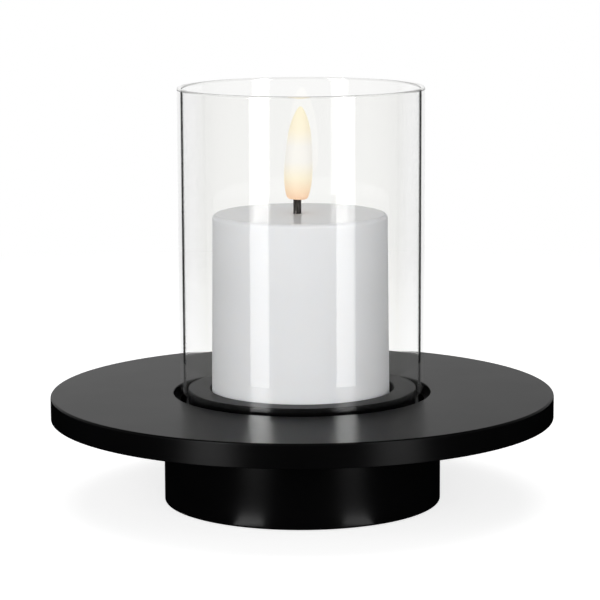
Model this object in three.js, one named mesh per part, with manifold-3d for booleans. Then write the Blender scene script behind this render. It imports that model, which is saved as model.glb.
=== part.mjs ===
// A battery candle on a round black base, under a clear glass sleeve.
// Millimetres, +Z up. The origin is on the ground under the middle of the foot, and -Y is the front.

import * as THREE from 'three';
import { mergeVertices } from 'three/addons/utils/BufferGeometryUtils.js';
import Module from 'manifold-3d';

const wasm = await Module();
wasm.setup();

// Clearances
const PLAY = 0.3; // between a piece and the bore, slot or wall it sits in
const SEAT = 0.1; // between two flat faces that rest on each other

// Base: foot, plate and the ring that centres the candle and the glass
const PLATE_RADIUS = 106;
const PLATE_THICKNESS = 10;
const PLATE_EDGE = 0.9;
const RECESS_DEPTH = 4.5;
const RECESS_LIP = 0.4;
const CHANNEL_PLAY = 2.75; // from the glass out to the wall of the plate's recess
const FOOT_RADIUS = 58.4;
const FOOT_HEIGHT = 36;
const FOOT_EDGE = 1.2;
const RING_WALL = 9.3;
const RING_PROUD = 2; // how far the ring stands above the plate
const RING_EDGE = 0.6;

// Felt pads let into the foot
const PAD_COUNT = 4;
const PAD_RADIUS = 9;
const PAD_THICKNESS = 2;
const PAD_PROUD = 0.5;
const PAD_INSET = 5.4; // from the pad's edge to the foot's side

// Wood screws, driven up through the foot and the plate into the ring
const BASE_SCREW_COUNT = 4;
const BASE_SCREW = { radius: 2, headRadius: 4, head: 2.6 };
const BASE_SCREW_SUNK = 0.5; // from the foot's underside up to the head
const BASE_SCREW_COVER = 2.6; // wood left above the point
const COUNTERBORE_PLAY = 1;

// Glass sleeve
const GLASS_WALL = 2;
const GLASS_HEIGHT = 133;
const GLASS_RIM = 0.9; // fire-polished rounding of the upper rim
const GLASS_FOOT_EDGE = 0.3;
const GLASS_PLAY = 1.5; // from the ring out to the glass

// Candle: a wax shell with a moulded insert
const CANDLE_RADIUS = 37.5;
const CANDLE_HEIGHT = 80;
const CANDLE_DRAFT = 0.85; // how much the radius shrinks towards the top
const CANDLE_EDGE = 1.8;
const CANDLE_PLAY = 1.2; // from the candle out to the ring's bore
const CANDLE_SHIFT = -0.6; // where the candle happens to stand in that play, along X
const WAX_WALL = 5.5;
const WAX_TOP = 4;
const WAX_FOOT_WALL = 3; // wall left outside the insert's flange

// Battery insert
const CELL_RADIUS = 7.2;
const CELL_LENGTH = 50.5;
const CELL_NUB_RADIUS = 2.75;
const CELL_NUB = 1;
const CELL_EDGE = 0.5;
const CELL_WEB = 1; // plastic left between the two wells
const WELL_WALL = 1.3;
const FLANGE_THICKNESS = 2;
const FLANGE_RECESS = 1.5; // the insert sits this far inside the candle's foot
const COVER_THICKNESS = 3;
const COVER_LEDGE = 1; // from a well's far wall out to the cover pocket's wall
const LUG_REACH = 1.3;
const LUG_HEIGHT = 1.3;
const LUG_DEGREES = 24;
const LUG_COUNT = 3;
const UNLOCK_DEGREES = 30;
const CUP_WALL = 2.4;
const COIN_SLOT_LENGTH = 15;
const COIN_SLOT_WIDTH = 2.2;
const COIN_SLOT_DEPTH = 1.2;
const STAKE_RADIUS = 1.4; // plastic stake that holds the bridge strip on the cover
const CONTACT_SPACE = 3.6; // from the cells up to the roof of their wells
const STRIP_THICKNESS = 0.4;
const BRIDGE_WIDTH = 8.4;
const LEAF_WIDTH = 5;
const SPRING_WIRE = 0.25;
const SPRING_TURNS = 3.5;
const SPRING_WIDE = 4.8;
const SPRING_NARROW = 2.6;

// Deck, circuit board and cap above the wells
const DECK_RADIUS = 12.4;
const DECK_THICKNESS = 1.5;
const BOARD_LENGTH = 28.8;
const BOARD_WIDTH = 20.8;
const BOARD_THICKNESS = 1.6;
const BOARD_CHAMFER_X = 4.9;
const BOARD_CHAMFER_Y = 2.4;
const CHIP_SIZE = [5, 4, 1.4];
const CHIP_PLACE = [8, 3.5];
const CHIP_LEGS = 4; // on each side
const CAP_WALL = 1.4;
const CAP_ROOM = 2.3; // above the board
const CAP_SCREW = { radius: 1.1, length: 10, headRadius: 2.2, head: 1.3 };
const CAP_SCREW_INSET = 2.8; // from the deck's end to the screw's axis
const PILLAR_RADIUS = 2.6;
const STEM_BOSS_WALL = 1.6;

// Slide switch beside the cover
const SWITCH_SIZE = [12, 5.6, 5.5];
const SWITCH_MARGIN = 0.8;
const SWITCH_TRAVEL = 2; // each way from the middle, which is ON
const KNOB_FOOT = [5, 2.8, 1.6];
const LEVER_LENGTH = 3.2;
const LEVER_WIDTH = 2.2;
const LEVER_TIP = 0.4; // height of the lever's end above the candle's foot
const LEVER_RIDGE = 0.35;
const PIN_SIZE = [0.8, 0.5, 1.6];
const PIN_PITCH = 2.5;
const SWITCH_WIRE_RADIUS = 0.6;
const SWITCH_WIRE_SPREAD = 3;
const SWITCH_WIRE_BEND = 0.45; // share of its height over which the wire draws in to the wells

// Wick stem, lamp and flame bulb
const STEM_SHIFT = -1.1; // the wick hole lies a little off the candle's axis, along X
const STEM_RADIUS = 1.75;
const STEM_RIBS = 10;
const STEM_RIB_DEPTH = 0.22;
const STEM_BORE = 1.2;
const STEM_SHOWN = 6; // between the wax and the bulb
const STEM_IN_BULB = 1.5;
const LAMP_RADIUS = 1.5;
const LAMP_FLANGE_RADIUS = 1.9;
const LAMP_FLANGE = 1;
const LAMP_HEIGHT = 5.3;
const LAMP_WIRE_RADIUS = 0.25;
const LAMP_WIRE_SPREAD = 0.6;
const BULB_RADIUS = 5.95;
const BULB_HEIGHT = 38.8;
const BULB_WALL = 1.2;
const BULB_LEAN_DEGREES = 2.2;

// Facets
const ROUND = 56;
const MEDIUM = 32;
const FINE = 24;
const SMALL = 12;
const FILLET_STEPS = 2;
const CUT = 1; // how far a cutting tool runs past the face it cuts

// Heights of the base, from the ground
const FOOT_BOTTOM = PAD_PROUD;
const FOOT_TOP = FOOT_BOTTOM + FOOT_HEIGHT;
const PLATE_BOTTOM = FOOT_TOP + SEAT;
const PLATE_TOP = PLATE_BOTTOM + PLATE_THICKNESS;
const RECESS_FLOOR = PLATE_TOP - RECESS_DEPTH;
const SEAT_FLOOR = RECESS_FLOOR + SEAT;
const RING_TOP = PLATE_TOP + RING_PROUD;

// Radii of the base, worked outwards from the candle
const RING_BORE = CANDLE_RADIUS + CANDLE_PLAY;
const RING_RADIUS = RING_BORE + RING_WALL;
const GLASS_BORE = RING_RADIUS + GLASS_PLAY;
const GLASS_RADIUS = GLASS_BORE + GLASS_WALL;
const RECESS_RADIUS = GLASS_RADIUS + CHANNEL_PLAY;
const BASE_SCREW_CIRCLE = (RING_BORE + RING_RADIUS) / 2;
const PAD_CIRCLE = FOOT_RADIUS - PAD_INSET - PAD_RADIUS;
const SCREW_SEAT = FOOT_BOTTOM + BASE_SCREW_SUNK + BASE_SCREW.head;
const SCREW_TOP = RING_TOP - BASE_SCREW_COVER;

// Heights inside the candle, from the candle's own foot
const FLANGE_BOTTOM = FLANGE_RECESS;
const FLANGE_TOP = FLANGE_BOTTOM + FLANGE_THICKNESS;
const COVER_TOP = FLANGE_BOTTOM + COVER_THICKNESS;
const BRIDGE_BOTTOM = COVER_TOP + SEAT;
const BRIDGE_TOP = BRIDGE_BOTTOM + STRIP_THICKNESS;
const CELL_BOTTOM = BRIDGE_TOP + SEAT;
const CELL_TOP = CELL_BOTTOM + CELL_LENGTH;
const POCKET_TOP = CELL_BOTTOM;
const CUP_TOP = POCKET_TOP + WELL_WALL;
const WELL_ROOF = CELL_TOP + CONTACT_SPACE;
const DECK_TOP = WELL_ROOF + DECK_THICKNESS;
const BOARD_BOTTOM = DECK_TOP + SEAT;
const BOARD_TOP = BOARD_BOTTOM + BOARD_THICKNESS;
const CAP_BOTTOM = DECK_TOP + SEAT;
const CAP_CEILING = BOARD_TOP + CAP_ROOM;
const CAP_TOP = CAP_CEILING + CAP_WALL;
const WAX_CEILING = CANDLE_HEIGHT - WAX_TOP;
const BOSS_TOP = WAX_CEILING - PLAY;
const STEM_BOTTOM = CAP_TOP + SEAT;
const BULB_BOTTOM = CANDLE_HEIGHT + STEM_SHOWN;
const STEM_TOP = BULB_BOTTOM + STEM_IN_BULB;
const LAMP_BOTTOM = STEM_TOP + SEAT;

// Radii and places inside the candle
const WAX_BORE = CANDLE_RADIUS - WAX_WALL;
const REBATE_RADIUS = CANDLE_RADIUS - WAX_FOOT_WALL;
const FLANGE_RADIUS = REBATE_RADIUS - PLAY;
const WELL_RADIUS = CELL_RADIUS + PLAY;
const CELL_OFFSET = WELL_RADIUS + CELL_WEB / 2;
const BLOCK_RADIUS = WELL_RADIUS + WELL_WALL;
const POCKET_RADIUS = CELL_OFFSET + WELL_RADIUS + COVER_LEDGE;
const COVER_RADIUS = POCKET_RADIUS - PLAY;
const GROOVE_RADIUS = POCKET_RADIUS + LUG_REACH;
const LUG_RADIUS = GROOVE_RADIUS - PLAY;
const CUP_RADIUS = POCKET_RADIUS + CUP_WALL;
const CAP_SCREW_OFFSET = CELL_OFFSET + DECK_RADIUS - CAP_SCREW_INSET;
const SWITCH_OFFSET = CUP_RADIUS + SWITCH_MARGIN + SWITCH_SIZE[1] / 2;
const SWITCH_BOTTOM = FLANGE_TOP + SEAT;
const SWITCH_WIRE_OFFSET = BLOCK_RADIUS + PLAY + SWITCH_WIRE_RADIUS;
const STEM_HOLE = STEM_RADIUS + PLAY;

const FINISHES = {
  blackLacquer: new THREE.MeshStandardMaterial({ color: 0x151515, roughness: 0.38, metalness: 0 }),
  felt: new THREE.MeshStandardMaterial({ color: 0x2b2b2b, roughness: 1, metalness: 0 }),
  clearGlass: new THREE.MeshStandardMaterial({
    color: 0xf4f6f6, roughness: 0.03, metalness: 0, transparent: true, opacity: 0.2,
  }),
  wax: new THREE.MeshStandardMaterial({ color: 0xe2e3e6, roughness: 0.45, metalness: 0 }),
  whitePlastic: new THREE.MeshStandardMaterial({ color: 0xe9e9e6, roughness: 0.5, metalness: 0 }),
  blackPlastic: new THREE.MeshStandardMaterial({ color: 0x202022, roughness: 0.55, metalness: 0 }),
  wick: new THREE.MeshStandardMaterial({ color: 0x262524, roughness: 0.7, metalness: 0 }),
  glow: new THREE.MeshStandardMaterial({
    color: 0xfdf3d8, roughness: 0.4, metalness: 0, emissive: 0xffe2b0, emissiveIntensity: 0.8,
  }),
  lamp: new THREE.MeshStandardMaterial({ color: 0xf5e8b8, roughness: 0.15, metalness: 0 }),
  steel: new THREE.MeshStandardMaterial({ color: 0xb9bbbd, roughness: 0.3, metalness: 1 }),
  spring: new THREE.MeshStandardMaterial({ color: 0xc4c2ba, roughness: 0.3, metalness: 1 }),
  board: new THREE.MeshStandardMaterial({ color: 0x1f5a35, roughness: 0.5, metalness: 0 }),
  cell: new THREE.MeshStandardMaterial({ color: 0x3a5a7a, roughness: 0.35, metalness: 0.2 }),
  redWire: new THREE.MeshStandardMaterial({ color: 0xa52020, roughness: 0.6, metalness: 0 }),
  blackWire: new THREE.MeshStandardMaterial({ color: 0x181818, roughness: 0.6, metalness: 0 }),
};

// Closed geometry with shared vertices and no flat triangles.
function weld(geometry) {
  const bare = geometry.clone();
  bare.deleteAttribute('normal');
  bare.deleteAttribute('uv');
  const merged = mergeVertices(bare, 1e-4);
  const index = merged.index.array;
  const kept = [];
  for (let i = 0; i < index.length; i += 3) {
    const [a, b, c] = [index[i], index[i + 1], index[i + 2]];
    if (a !== b && b !== c && c !== a) {
      kept.push(a, b, c);
    }
  }
  merged.setIndex(kept);
  return merged;
}

function solid(geometry) {
  const welded = weld(geometry);
  return new wasm.Manifold(new wasm.Mesh({
    numProp: 3,
    vertProperties: new Float32Array(welded.attributes.position.array),
    triVerts: new Uint32Array(welded.index.array),
  }));
}

function geometryOf(manifold) {
  const mesh = manifold.getMesh();
  const geometry = new THREE.BufferGeometry();
  geometry.setAttribute('position', new THREE.BufferAttribute(new Float32Array(mesh.vertProperties), 3));
  geometry.setIndex(Array.from(mesh.triVerts));
  return geometry;
}

// Joins the geometries in added, then takes those in removed away.
function shape(added, removed = []) {
  let body = solid(added[0]);
  for (const geometry of added.slice(1)) {
    body = body.add(solid(geometry));
  }
  for (const geometry of removed) {
    body = body.subtract(solid(geometry));
  }
  return geometryOf(body);
}

// Points of a revolve outline from corners of [radius, height, fillet].
function outline(corners, closed) {
  const points = [];
  const count = corners.length;
  for (let i = 0; i < count; i += 1) {
    const [x, y, fillet = 0] = corners[i];
    const corner = new THREE.Vector2(x, y);
    const atEnd = !closed && (i === 0 || i === count - 1);
    if (atEnd || fillet === 0) {
      points.push(corner);
      continue;
    }
    const last = corners[(i + count - 1) % count];
    const next = corners[(i + 1) % count];
    const back = new THREE.Vector2(last[0], last[1]).sub(corner).normalize();
    const ahead = new THREE.Vector2(next[0], next[1]).sub(corner).normalize();
    const halfAngle = Math.acos(back.dot(ahead)) / 2;
    const bisector = back.clone().add(ahead).normalize();
    const centre = corner.clone().addScaledVector(bisector, fillet / Math.sin(halfAngle));
    const start = corner.clone().addScaledVector(back, fillet / Math.tan(halfAngle)).sub(centre);
    const turn = Math.PI - 2 * halfAngle;
    const side = Math.sign(back.cross(ahead));
    for (let step = 0; step <= FILLET_STEPS; step += 1) {
      const spoke = start.clone().rotateAround(new THREE.Vector2(), -side * turn * step / FILLET_STEPS);
      points.push(centre.clone().add(spoke));
    }
  }
  if (closed) {
    points.push(points[0].clone());
  }
  return points;
}

// Revolves an outline of [radius, height] about the Z axis.
function revolve(points, facets) {
  return new THREE.LatheGeometry(points, facets).rotateX(Math.PI / 2);
}

function turned(corners, facets) {
  return revolve(outline(corners, false), facets);
}

function turnedRing(corners, facets) {
  return revolve(outline(corners, true), facets);
}

function disc(radius, bottom, top, facets, x = 0, y = 0) {
  return turned([[0, bottom], [radius, bottom], [radius, top], [0, top]], facets).translate(x, y, 0);
}

function block([length, width, height], x, y, bottom) {
  return new THREE.BoxGeometry(length, width, height).translate(x, y, bottom + height / 2);
}

function prism(outlineShape, bottom, top) {
  const settings = { depth: top - bottom, bevelEnabled: false, curveSegments: SMALL / 2 + 2 };
  return new THREE.ExtrudeGeometry(outlineShape, settings).translate(0, 0, bottom);
}

// Outline with straight sides and round ends, whose end centres lie at plus and minus offset on X.
function roundEnded(offset, radius) {
  const result = new THREE.Shape();
  result.absarc(offset, 0, radius, -Math.PI / 2, Math.PI / 2, false);
  result.absarc(-offset, 0, radius, Math.PI / 2, Math.PI * 1.5, false);
  result.closePath();
  return result;
}

function tube(points, radius, steps, sides) {
  const section = new THREE.Shape();
  for (let i = 0; i < sides; i += 1) {
    const angle = 2 * Math.PI * i / sides;
    const [x, y] = [radius * Math.cos(angle), radius * Math.sin(angle)];
    if (i === 0) {
      section.moveTo(x, y);
    } else {
      section.lineTo(x, y);
    }
  }
  section.closePath();
  const extrudePath = new THREE.CatmullRomCurve3(points);
  return new THREE.ExtrudeGeometry(section, { steps, bevelEnabled: false, extrudePath });
}

// Places on a circle, as [x, y].
function around(count, radius, firstDegrees) {
  const places = [];
  for (let i = 0; i < count; i += 1) {
    const angle = THREE.MathUtils.degToRad(firstDegrees + 360 * i / count);
    places.push([radius * Math.cos(angle), radius * Math.sin(angle)]);
  }
  return places;
}

const padPlaces = around(PAD_COUNT, PAD_CIRCLE, 0);
const baseScrewPlaces = around(BASE_SCREW_COUNT, BASE_SCREW_CIRCLE, 45);
const capScrewPlaces = [[CAP_SCREW_OFFSET, 0], [-CAP_SCREW_OFFSET, 0]];

function footGeometry() {
  const body = turned([
    [0, FOOT_BOTTOM],
    [FOOT_RADIUS, FOOT_BOTTOM, FOOT_EDGE],
    [FOOT_RADIUS, FOOT_TOP],
    [0, FOOT_TOP],
  ], ROUND);
  const counterbore = BASE_SCREW.headRadius + COUNTERBORE_PLAY;
  const cuts = [];
  for (const [x, y] of baseScrewPlaces) {
    cuts.push(disc(counterbore, FOOT_BOTTOM - CUT, SCREW_SEAT, SMALL, x, y));
    cuts.push(disc(BASE_SCREW.radius + PLAY, FOOT_BOTTOM, FOOT_TOP + CUT, SMALL, x, y));
  }
  for (const [x, y] of padPlaces) {
    const socketTop = PAD_THICKNESS + SEAT;
    cuts.push(disc(PAD_RADIUS + PLAY, FOOT_BOTTOM - CUT, socketTop, FINE, x, y));
  }
  return shape([body], cuts);
}

function plateGeometry() {
  const body = turned([
    [0, PLATE_BOTTOM],
    [PLATE_RADIUS, PLATE_BOTTOM, PLATE_EDGE],
    [PLATE_RADIUS, PLATE_TOP, PLATE_EDGE],
    [RECESS_RADIUS, PLATE_TOP, RECESS_LIP],
    [RECESS_RADIUS, RECESS_FLOOR],
    [0, RECESS_FLOOR],
  ], ROUND);
  const holes = baseScrewPlaces.map(
    ([x, y]) => disc(BASE_SCREW.radius + PLAY, PLATE_BOTTOM - CUT, RECESS_FLOOR + CUT, SMALL, x, y),
  );
  return shape([body], holes);
}

function ringGeometry() {
  const body = turnedRing([
    [RING_BORE, SEAT_FLOOR],
    [RING_RADIUS, SEAT_FLOOR],
    [RING_RADIUS, RING_TOP, RING_EDGE],
    [RING_BORE, RING_TOP, RING_EDGE],
  ], ROUND);
  const pilots = baseScrewPlaces.map(
    ([x, y]) => disc(BASE_SCREW.radius + PLAY, SEAT_FLOOR - CUT, SCREW_TOP + PLAY, SMALL, x, y),
  );
  return shape([body], pilots);
}

// A screw with its head below, a cross recess and a blunt point, whose head's upper face is at height 0.
function screwGeometry({ radius, length, headRadius, head }) {
  const body = turned([
    [0, -head],
    [headRadius * 0.7, -head],
    [headRadius, -head * 0.5],
    [headRadius, 0],
    [radius, 0],
    [radius, length - radius],
    [0, length],
  ], SMALL);
  const slot = [headRadius * 1.1, headRadius * 0.28, head * 0.5 + CUT];
  const across = [slot[1], slot[0], slot[2]];
  return shape([body], [block(slot, 0, 0, -head - CUT), block(across, 0, 0, -head - CUT)]);
}

function padGeometry() {
  return disc(PAD_RADIUS, 0, PAD_THICKNESS, FINE);
}

function glassGeometry() {
  const bottom = SEAT_FLOOR;
  const top = bottom + GLASS_HEIGHT;
  return turnedRing([
    [GLASS_BORE, bottom, GLASS_FOOT_EDGE],
    [GLASS_RADIUS, bottom, GLASS_FOOT_EDGE],
    [GLASS_RADIUS, top, GLASS_RIM],
    [GLASS_BORE, top, GLASS_RIM],
  ], ROUND);
}

function waxGeometry() {
  const topRadius = CANDLE_RADIUS - CANDLE_DRAFT;
  const rebateTop = FLANGE_TOP + SEAT;
  const body = turned([
    [0, 0],
    [CANDLE_RADIUS, 0],
    [topRadius, CANDLE_HEIGHT, CANDLE_EDGE],
    [0, CANDLE_HEIGHT],
  ], ROUND);
  const hollow = turned([
    [0, -CUT],
    [REBATE_RADIUS, -CUT],
    [REBATE_RADIUS, rebateTop],
    [WAX_BORE, rebateTop],
    [WAX_BORE, WAX_CEILING, CANDLE_EDGE],
    [0, WAX_CEILING],
  ], ROUND);
  const wickHole = disc(STEM_HOLE, WAX_CEILING - CUT, CANDLE_HEIGHT + CUT, FINE, STEM_SHIFT, 0);
  return shape([body], [hollow, wickHole]);
}

// A sector of a ring, for bayonet lugs and the grooves that they turn in.
function sector(inner, outer, bottom, top, fromDegrees, sweepDegrees) {
  const [from, to] = [fromDegrees, fromDegrees + sweepDegrees].map(THREE.MathUtils.degToRad);
  const result = new THREE.Shape();
  result.absarc(0, 0, outer, from, to, false);
  result.absarc(0, 0, inner, to, from, true);
  result.closePath();
  return prism(result, bottom, top);
}

function trayGeometry() {
  const lugBottom = COVER_TOP - LUG_HEIGHT;
  const bossBottom = DECK_TOP - CAP_SCREW.length;
  const added = [
    disc(FLANGE_RADIUS, FLANGE_BOTTOM, FLANGE_TOP, ROUND),
    disc(CUP_RADIUS, FLANGE_BOTTOM, CUP_TOP, MEDIUM),
    prism(roundEnded(CELL_OFFSET, BLOCK_RADIUS), FLANGE_TOP, DECK_TOP),
    prism(roundEnded(CELL_OFFSET, DECK_RADIUS), WELL_ROOF, DECK_TOP),
  ];
  for (const [x, y] of capScrewPlaces) {
    added.push(disc(PILLAR_RADIUS, bossBottom, DECK_TOP, FINE, x, y));
  }
  const removed = [disc(POCKET_RADIUS, FLANGE_BOTTOM - CUT, POCKET_TOP, MEDIUM)];
  for (const x of [CELL_OFFSET, -CELL_OFFSET]) {
    removed.push(disc(WELL_RADIUS, FLANGE_BOTTOM, WELL_ROOF, FINE, x, 0));
  }
  const slack = THREE.MathUtils.radToDeg(PLAY / LUG_RADIUS);
  for (let i = 0; i < LUG_COUNT; i += 1) {
    const entry = 360 * i / LUG_COUNT - UNLOCK_DEGREES - slack;
    const entrySweep = LUG_DEGREES + 2 * slack;
    const sweep = UNLOCK_DEGREES + entrySweep;
    removed.push(sector(COVER_RADIUS, GROOVE_RADIUS, lugBottom - PLAY, COVER_TOP + PLAY, entry, sweep));
    removed.push(sector(COVER_RADIUS, GROOVE_RADIUS, FLANGE_BOTTOM - CUT, COVER_TOP, entry, entrySweep));
  }
  const slot = [
    LEVER_LENGTH + 2 * (SWITCH_TRAVEL + PLAY),
    LEVER_WIDTH + 2 * PLAY,
    FLANGE_THICKNESS + 2 * CUT,
  ];
  removed.push(block(slot, 0, -SWITCH_OFFSET, FLANGE_BOTTOM - CUT));
  for (const [x, y] of capScrewPlaces) {
    removed.push(disc(CAP_SCREW.radius + PLAY, bossBottom + PILLAR_RADIUS, DECK_TOP + CUT, SMALL, x, y));
  }
  for (const side of [-1, 1]) {
    const [x, y] = [side * SWITCH_WIRE_SPREAD, -SWITCH_WIRE_OFFSET];
    removed.push(disc(SWITCH_WIRE_RADIUS + PLAY, WELL_ROOF - CUT, DECK_TOP + CUT, SMALL, x, y));
    removed.push(block(contactSlot(), side * CELL_OFFSET, contactTabY(), WELL_ROOF - CUT));
  }
  return shape(added, removed);
}

// Slot through the deck and the board for a contact's tab.
function contactSlot() {
  const width = 2 * (SPRING_WIRE + PLAY);
  return [width, width, DECK_THICKNESS + BOARD_THICKNESS + 3 * CUT];
}

function contactTabY() {
  return SPRING_NARROW;
}

function capGeometry() {
  const added = [prism(roundEnded(CELL_OFFSET, DECK_RADIUS), CAP_BOTTOM, CAP_TOP)];
  const room = prism(roundEnded(CELL_OFFSET, DECK_RADIUS - CAP_WALL), CAP_BOTTOM - CUT, CAP_CEILING);
  let body = solid(added[0]).subtract(solid(room));
  const stemBoss = disc(STEM_HOLE + STEM_BOSS_WALL, CAP_CEILING, BOSS_TOP, FINE, STEM_SHIFT, 0);
  body = body.add(solid(stemBoss));
  const screwHole = CAP_SCREW.radius + PLAY;
  for (const [x, y] of capScrewPlaces) {
    body = body.add(solid(disc(PILLAR_RADIUS, CAP_BOTTOM, CAP_TOP, FINE, x, y)));
    body = body.subtract(solid(disc(screwHole, CAP_BOTTOM - CUT, CAP_TOP + CUT, SMALL, x, y)));
  }
  body = body.subtract(solid(disc(STEM_HOLE, CAP_TOP, BOSS_TOP + CUT, FINE, STEM_SHIFT, 0)));
  body = body.subtract(solid(disc(STEM_BORE, CAP_CEILING - CUT, BOSS_TOP, SMALL, STEM_SHIFT, 0)));
  return geometryOf(body);
}

function boardGeometry() {
  const [x, y] = [BOARD_LENGTH / 2, BOARD_WIDTH / 2];
  const [inX, inY] = [x - BOARD_CHAMFER_X, y - BOARD_CHAMFER_Y];
  const points = [[x, -inY], [x, inY], [inX, y], [-inX, y], [-x, inY], [-x, -inY], [-inX, -y], [inX, -y]];
  const edge = new THREE.Shape(points.map(([px, py]) => new THREE.Vector2(px, py)));
  const holes = [CELL_OFFSET, -CELL_OFFSET].map(
    (holeX) => block(contactSlot(), holeX, contactTabY(), BOARD_BOTTOM - CUT),
  );
  return shape([prism(edge, BOARD_BOTTOM, BOARD_TOP)], holes);
}

function chipGeometry() {
  const [length, width, height] = CHIP_SIZE;
  const [x, y] = CHIP_PLACE;
  const bottom = BOARD_TOP + SEAT;
  const legSize = [length / CHIP_LEGS / 3, width * 1.4, height * 0.4];
  const added = [block([length, width, height * 0.8], x, y, bottom + height * 0.2)];
  for (let i = 0; i < CHIP_LEGS; i += 1) {
    const along = (i + 0.5) / CHIP_LEGS - 0.5;
    added.push(block(legSize, x + along * length, y, bottom));
  }
  return shape(added);
}

// A cell with its nub up, standing on height 0.
function cellGeometry() {
  const shoulder = CELL_LENGTH - CELL_NUB;
  return turned([
    [0, 0],
    [CELL_RADIUS, 0, CELL_EDGE],
    [CELL_RADIUS, shoulder, CELL_EDGE],
    [CELL_NUB_RADIUS, shoulder],
    [CELL_NUB_RADIUS, CELL_LENGTH],
    [0, CELL_LENGTH],
  ], FINE);
}

// Conical coil under the well's roof, ending in a leg that goes up through the board.
function springGeometry() {
  const low = CELL_TOP + SEAT + SPRING_WIRE;
  const high = WELL_ROOF - SEAT - SPRING_WIRE;
  const stepsPerTurn = 10;
  const points = [];
  const count = SPRING_TURNS * stepsPerTurn;
  for (let i = 0; i <= count; i += 1) {
    const share = i / count;
    const angle = Math.PI / 2 - 2 * Math.PI * SPRING_TURNS * (1 - share);
    const radius = THREE.MathUtils.lerp(SPRING_WIDE, SPRING_NARROW, share);
    const height = THREE.MathUtils.lerp(low, high, share);
    points.push(new THREE.Vector3(radius * Math.cos(angle), radius * Math.sin(angle), height));
  }
  return tube(points, SPRING_WIRE, count, 5);
}

function contactLegGeometry() {
  return disc(SPRING_WIRE, WELL_ROOF + PLAY, BOARD_TOP + SPRING_WIRE, SMALL);
}

// Bowed strip that presses on the nub of the cell below it.
function leafGeometry() {
  const low = CELL_TOP + SEAT;
  const high = WELL_ROOF - SEAT - STRIP_THICKNESS;
  const reach = CELL_RADIUS * 0.75;
  const samples = 12;
  const lower = [];
  const upper = [];
  for (let i = 0; i <= samples; i += 1) {
    const share = i / samples;
    const x = THREE.MathUtils.lerp(-reach, reach, share);
    const height = low + (high - low) * Math.cos(Math.PI * share) ** 2;
    lower.push(new THREE.Vector2(x, height));
    upper.unshift(new THREE.Vector2(x, height + STRIP_THICKNESS));
  }
  const side = new THREE.Shape([...lower, ...upper]);
  const settings = { depth: LEAF_WIDTH, bevelEnabled: false };
  return new THREE.ExtrudeGeometry(side, settings).rotateX(Math.PI / 2).translate(0, LEAF_WIDTH / 2, 0);
}

function bridgeGeometry() {
  const strip = prism(roundEnded(CELL_OFFSET, BRIDGE_WIDTH / 2), BRIDGE_BOTTOM, BRIDGE_TOP);
  return shape([strip], [disc(STAKE_RADIUS + PLAY, BRIDGE_BOTTOM - CUT, BRIDGE_TOP + CUT, SMALL)]);
}

function coverGeometry() {
  const added = [
    disc(COVER_RADIUS, FLANGE_BOTTOM, COVER_TOP, MEDIUM),
    disc(STAKE_RADIUS, COVER_TOP - CUT, BRIDGE_TOP, SMALL),
  ];
  for (let i = 0; i < LUG_COUNT; i += 1) {
    const start = 360 * i / LUG_COUNT;
    const inner = COVER_RADIUS - LUG_REACH;
    added.push(sector(inner, LUG_RADIUS, COVER_TOP - LUG_HEIGHT, COVER_TOP, start, LUG_DEGREES));
  }
  const halfSlot = (COIN_SLOT_LENGTH - COIN_SLOT_WIDTH) / 2;
  const slotOutline = roundEnded(halfSlot, COIN_SLOT_WIDTH / 2);
  const slotRoof = FLANGE_BOTTOM + COIN_SLOT_DEPTH;
  return shape(added, [prism(slotOutline, FLANGE_BOTTOM - CUT, slotRoof)]);
}

function switchGeometry() {
  const [length, width, height] = SWITCH_SIZE;
  const added = [block([length, width, height], 0, 0, SWITCH_BOTTOM)];
  for (const place of [-1, 0, 1]) {
    const pin = [PIN_SIZE[0], PIN_SIZE[1], PIN_SIZE[2] + CUT];
    added.push(block(pin, place * PIN_PITCH, 0, SWITCH_BOTTOM + height - CUT));
  }
  const room = [
    KNOB_FOOT[0] + 2 * (SWITCH_TRAVEL + PLAY),
    KNOB_FOOT[1] + 2 * PLAY,
    KNOB_FOOT[2] + 2 * PLAY + CUT,
  ];
  return shape(added, [block(room, 0, 0, SWITCH_BOTTOM - CUT)]);
}

function knobGeometry() {
  const footBottom = SWITCH_BOTTOM + PLAY;
  const lever = [LEVER_LENGTH, LEVER_WIDTH, footBottom + CUT - LEVER_TIP];
  const added = [block(KNOB_FOOT, 0, 0, footBottom), block(lever, 0, 0, LEVER_TIP)];
  const groove = [LEVER_RIDGE, LEVER_WIDTH + CUT, LEVER_RIDGE + CUT];
  const removed = [];
  for (const place of [-1, 0, 1]) {
    removed.push(block(groove, place * LEVER_LENGTH / 4, 0, LEVER_TIP - CUT));
  }
  return shape(added, removed);
}

// From a switch pin up beside the wells to the underside of the board.
function switchWireGeometry(side) {
  const start = SWITCH_BOTTOM + SWITCH_SIZE[2] + PIN_SIZE[2] + PLAY;
  const end = BOARD_BOTTOM - PLAY;
  const count = 18;
  const points = [];
  for (let i = 0; i <= count; i += 1) {
    const share = i / count;
    const drawnIn = THREE.MathUtils.smoothstep(share, 0, SWITCH_WIRE_BEND);
    points.push(new THREE.Vector3(
      side * THREE.MathUtils.lerp(PIN_PITCH, SWITCH_WIRE_SPREAD, drawnIn),
      -THREE.MathUtils.lerp(SWITCH_OFFSET, SWITCH_WIRE_OFFSET, drawnIn),
      THREE.MathUtils.lerp(start, end, share),
    ));
  }
  return tube(points, SWITCH_WIRE_RADIUS, count, 6);
}

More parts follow.
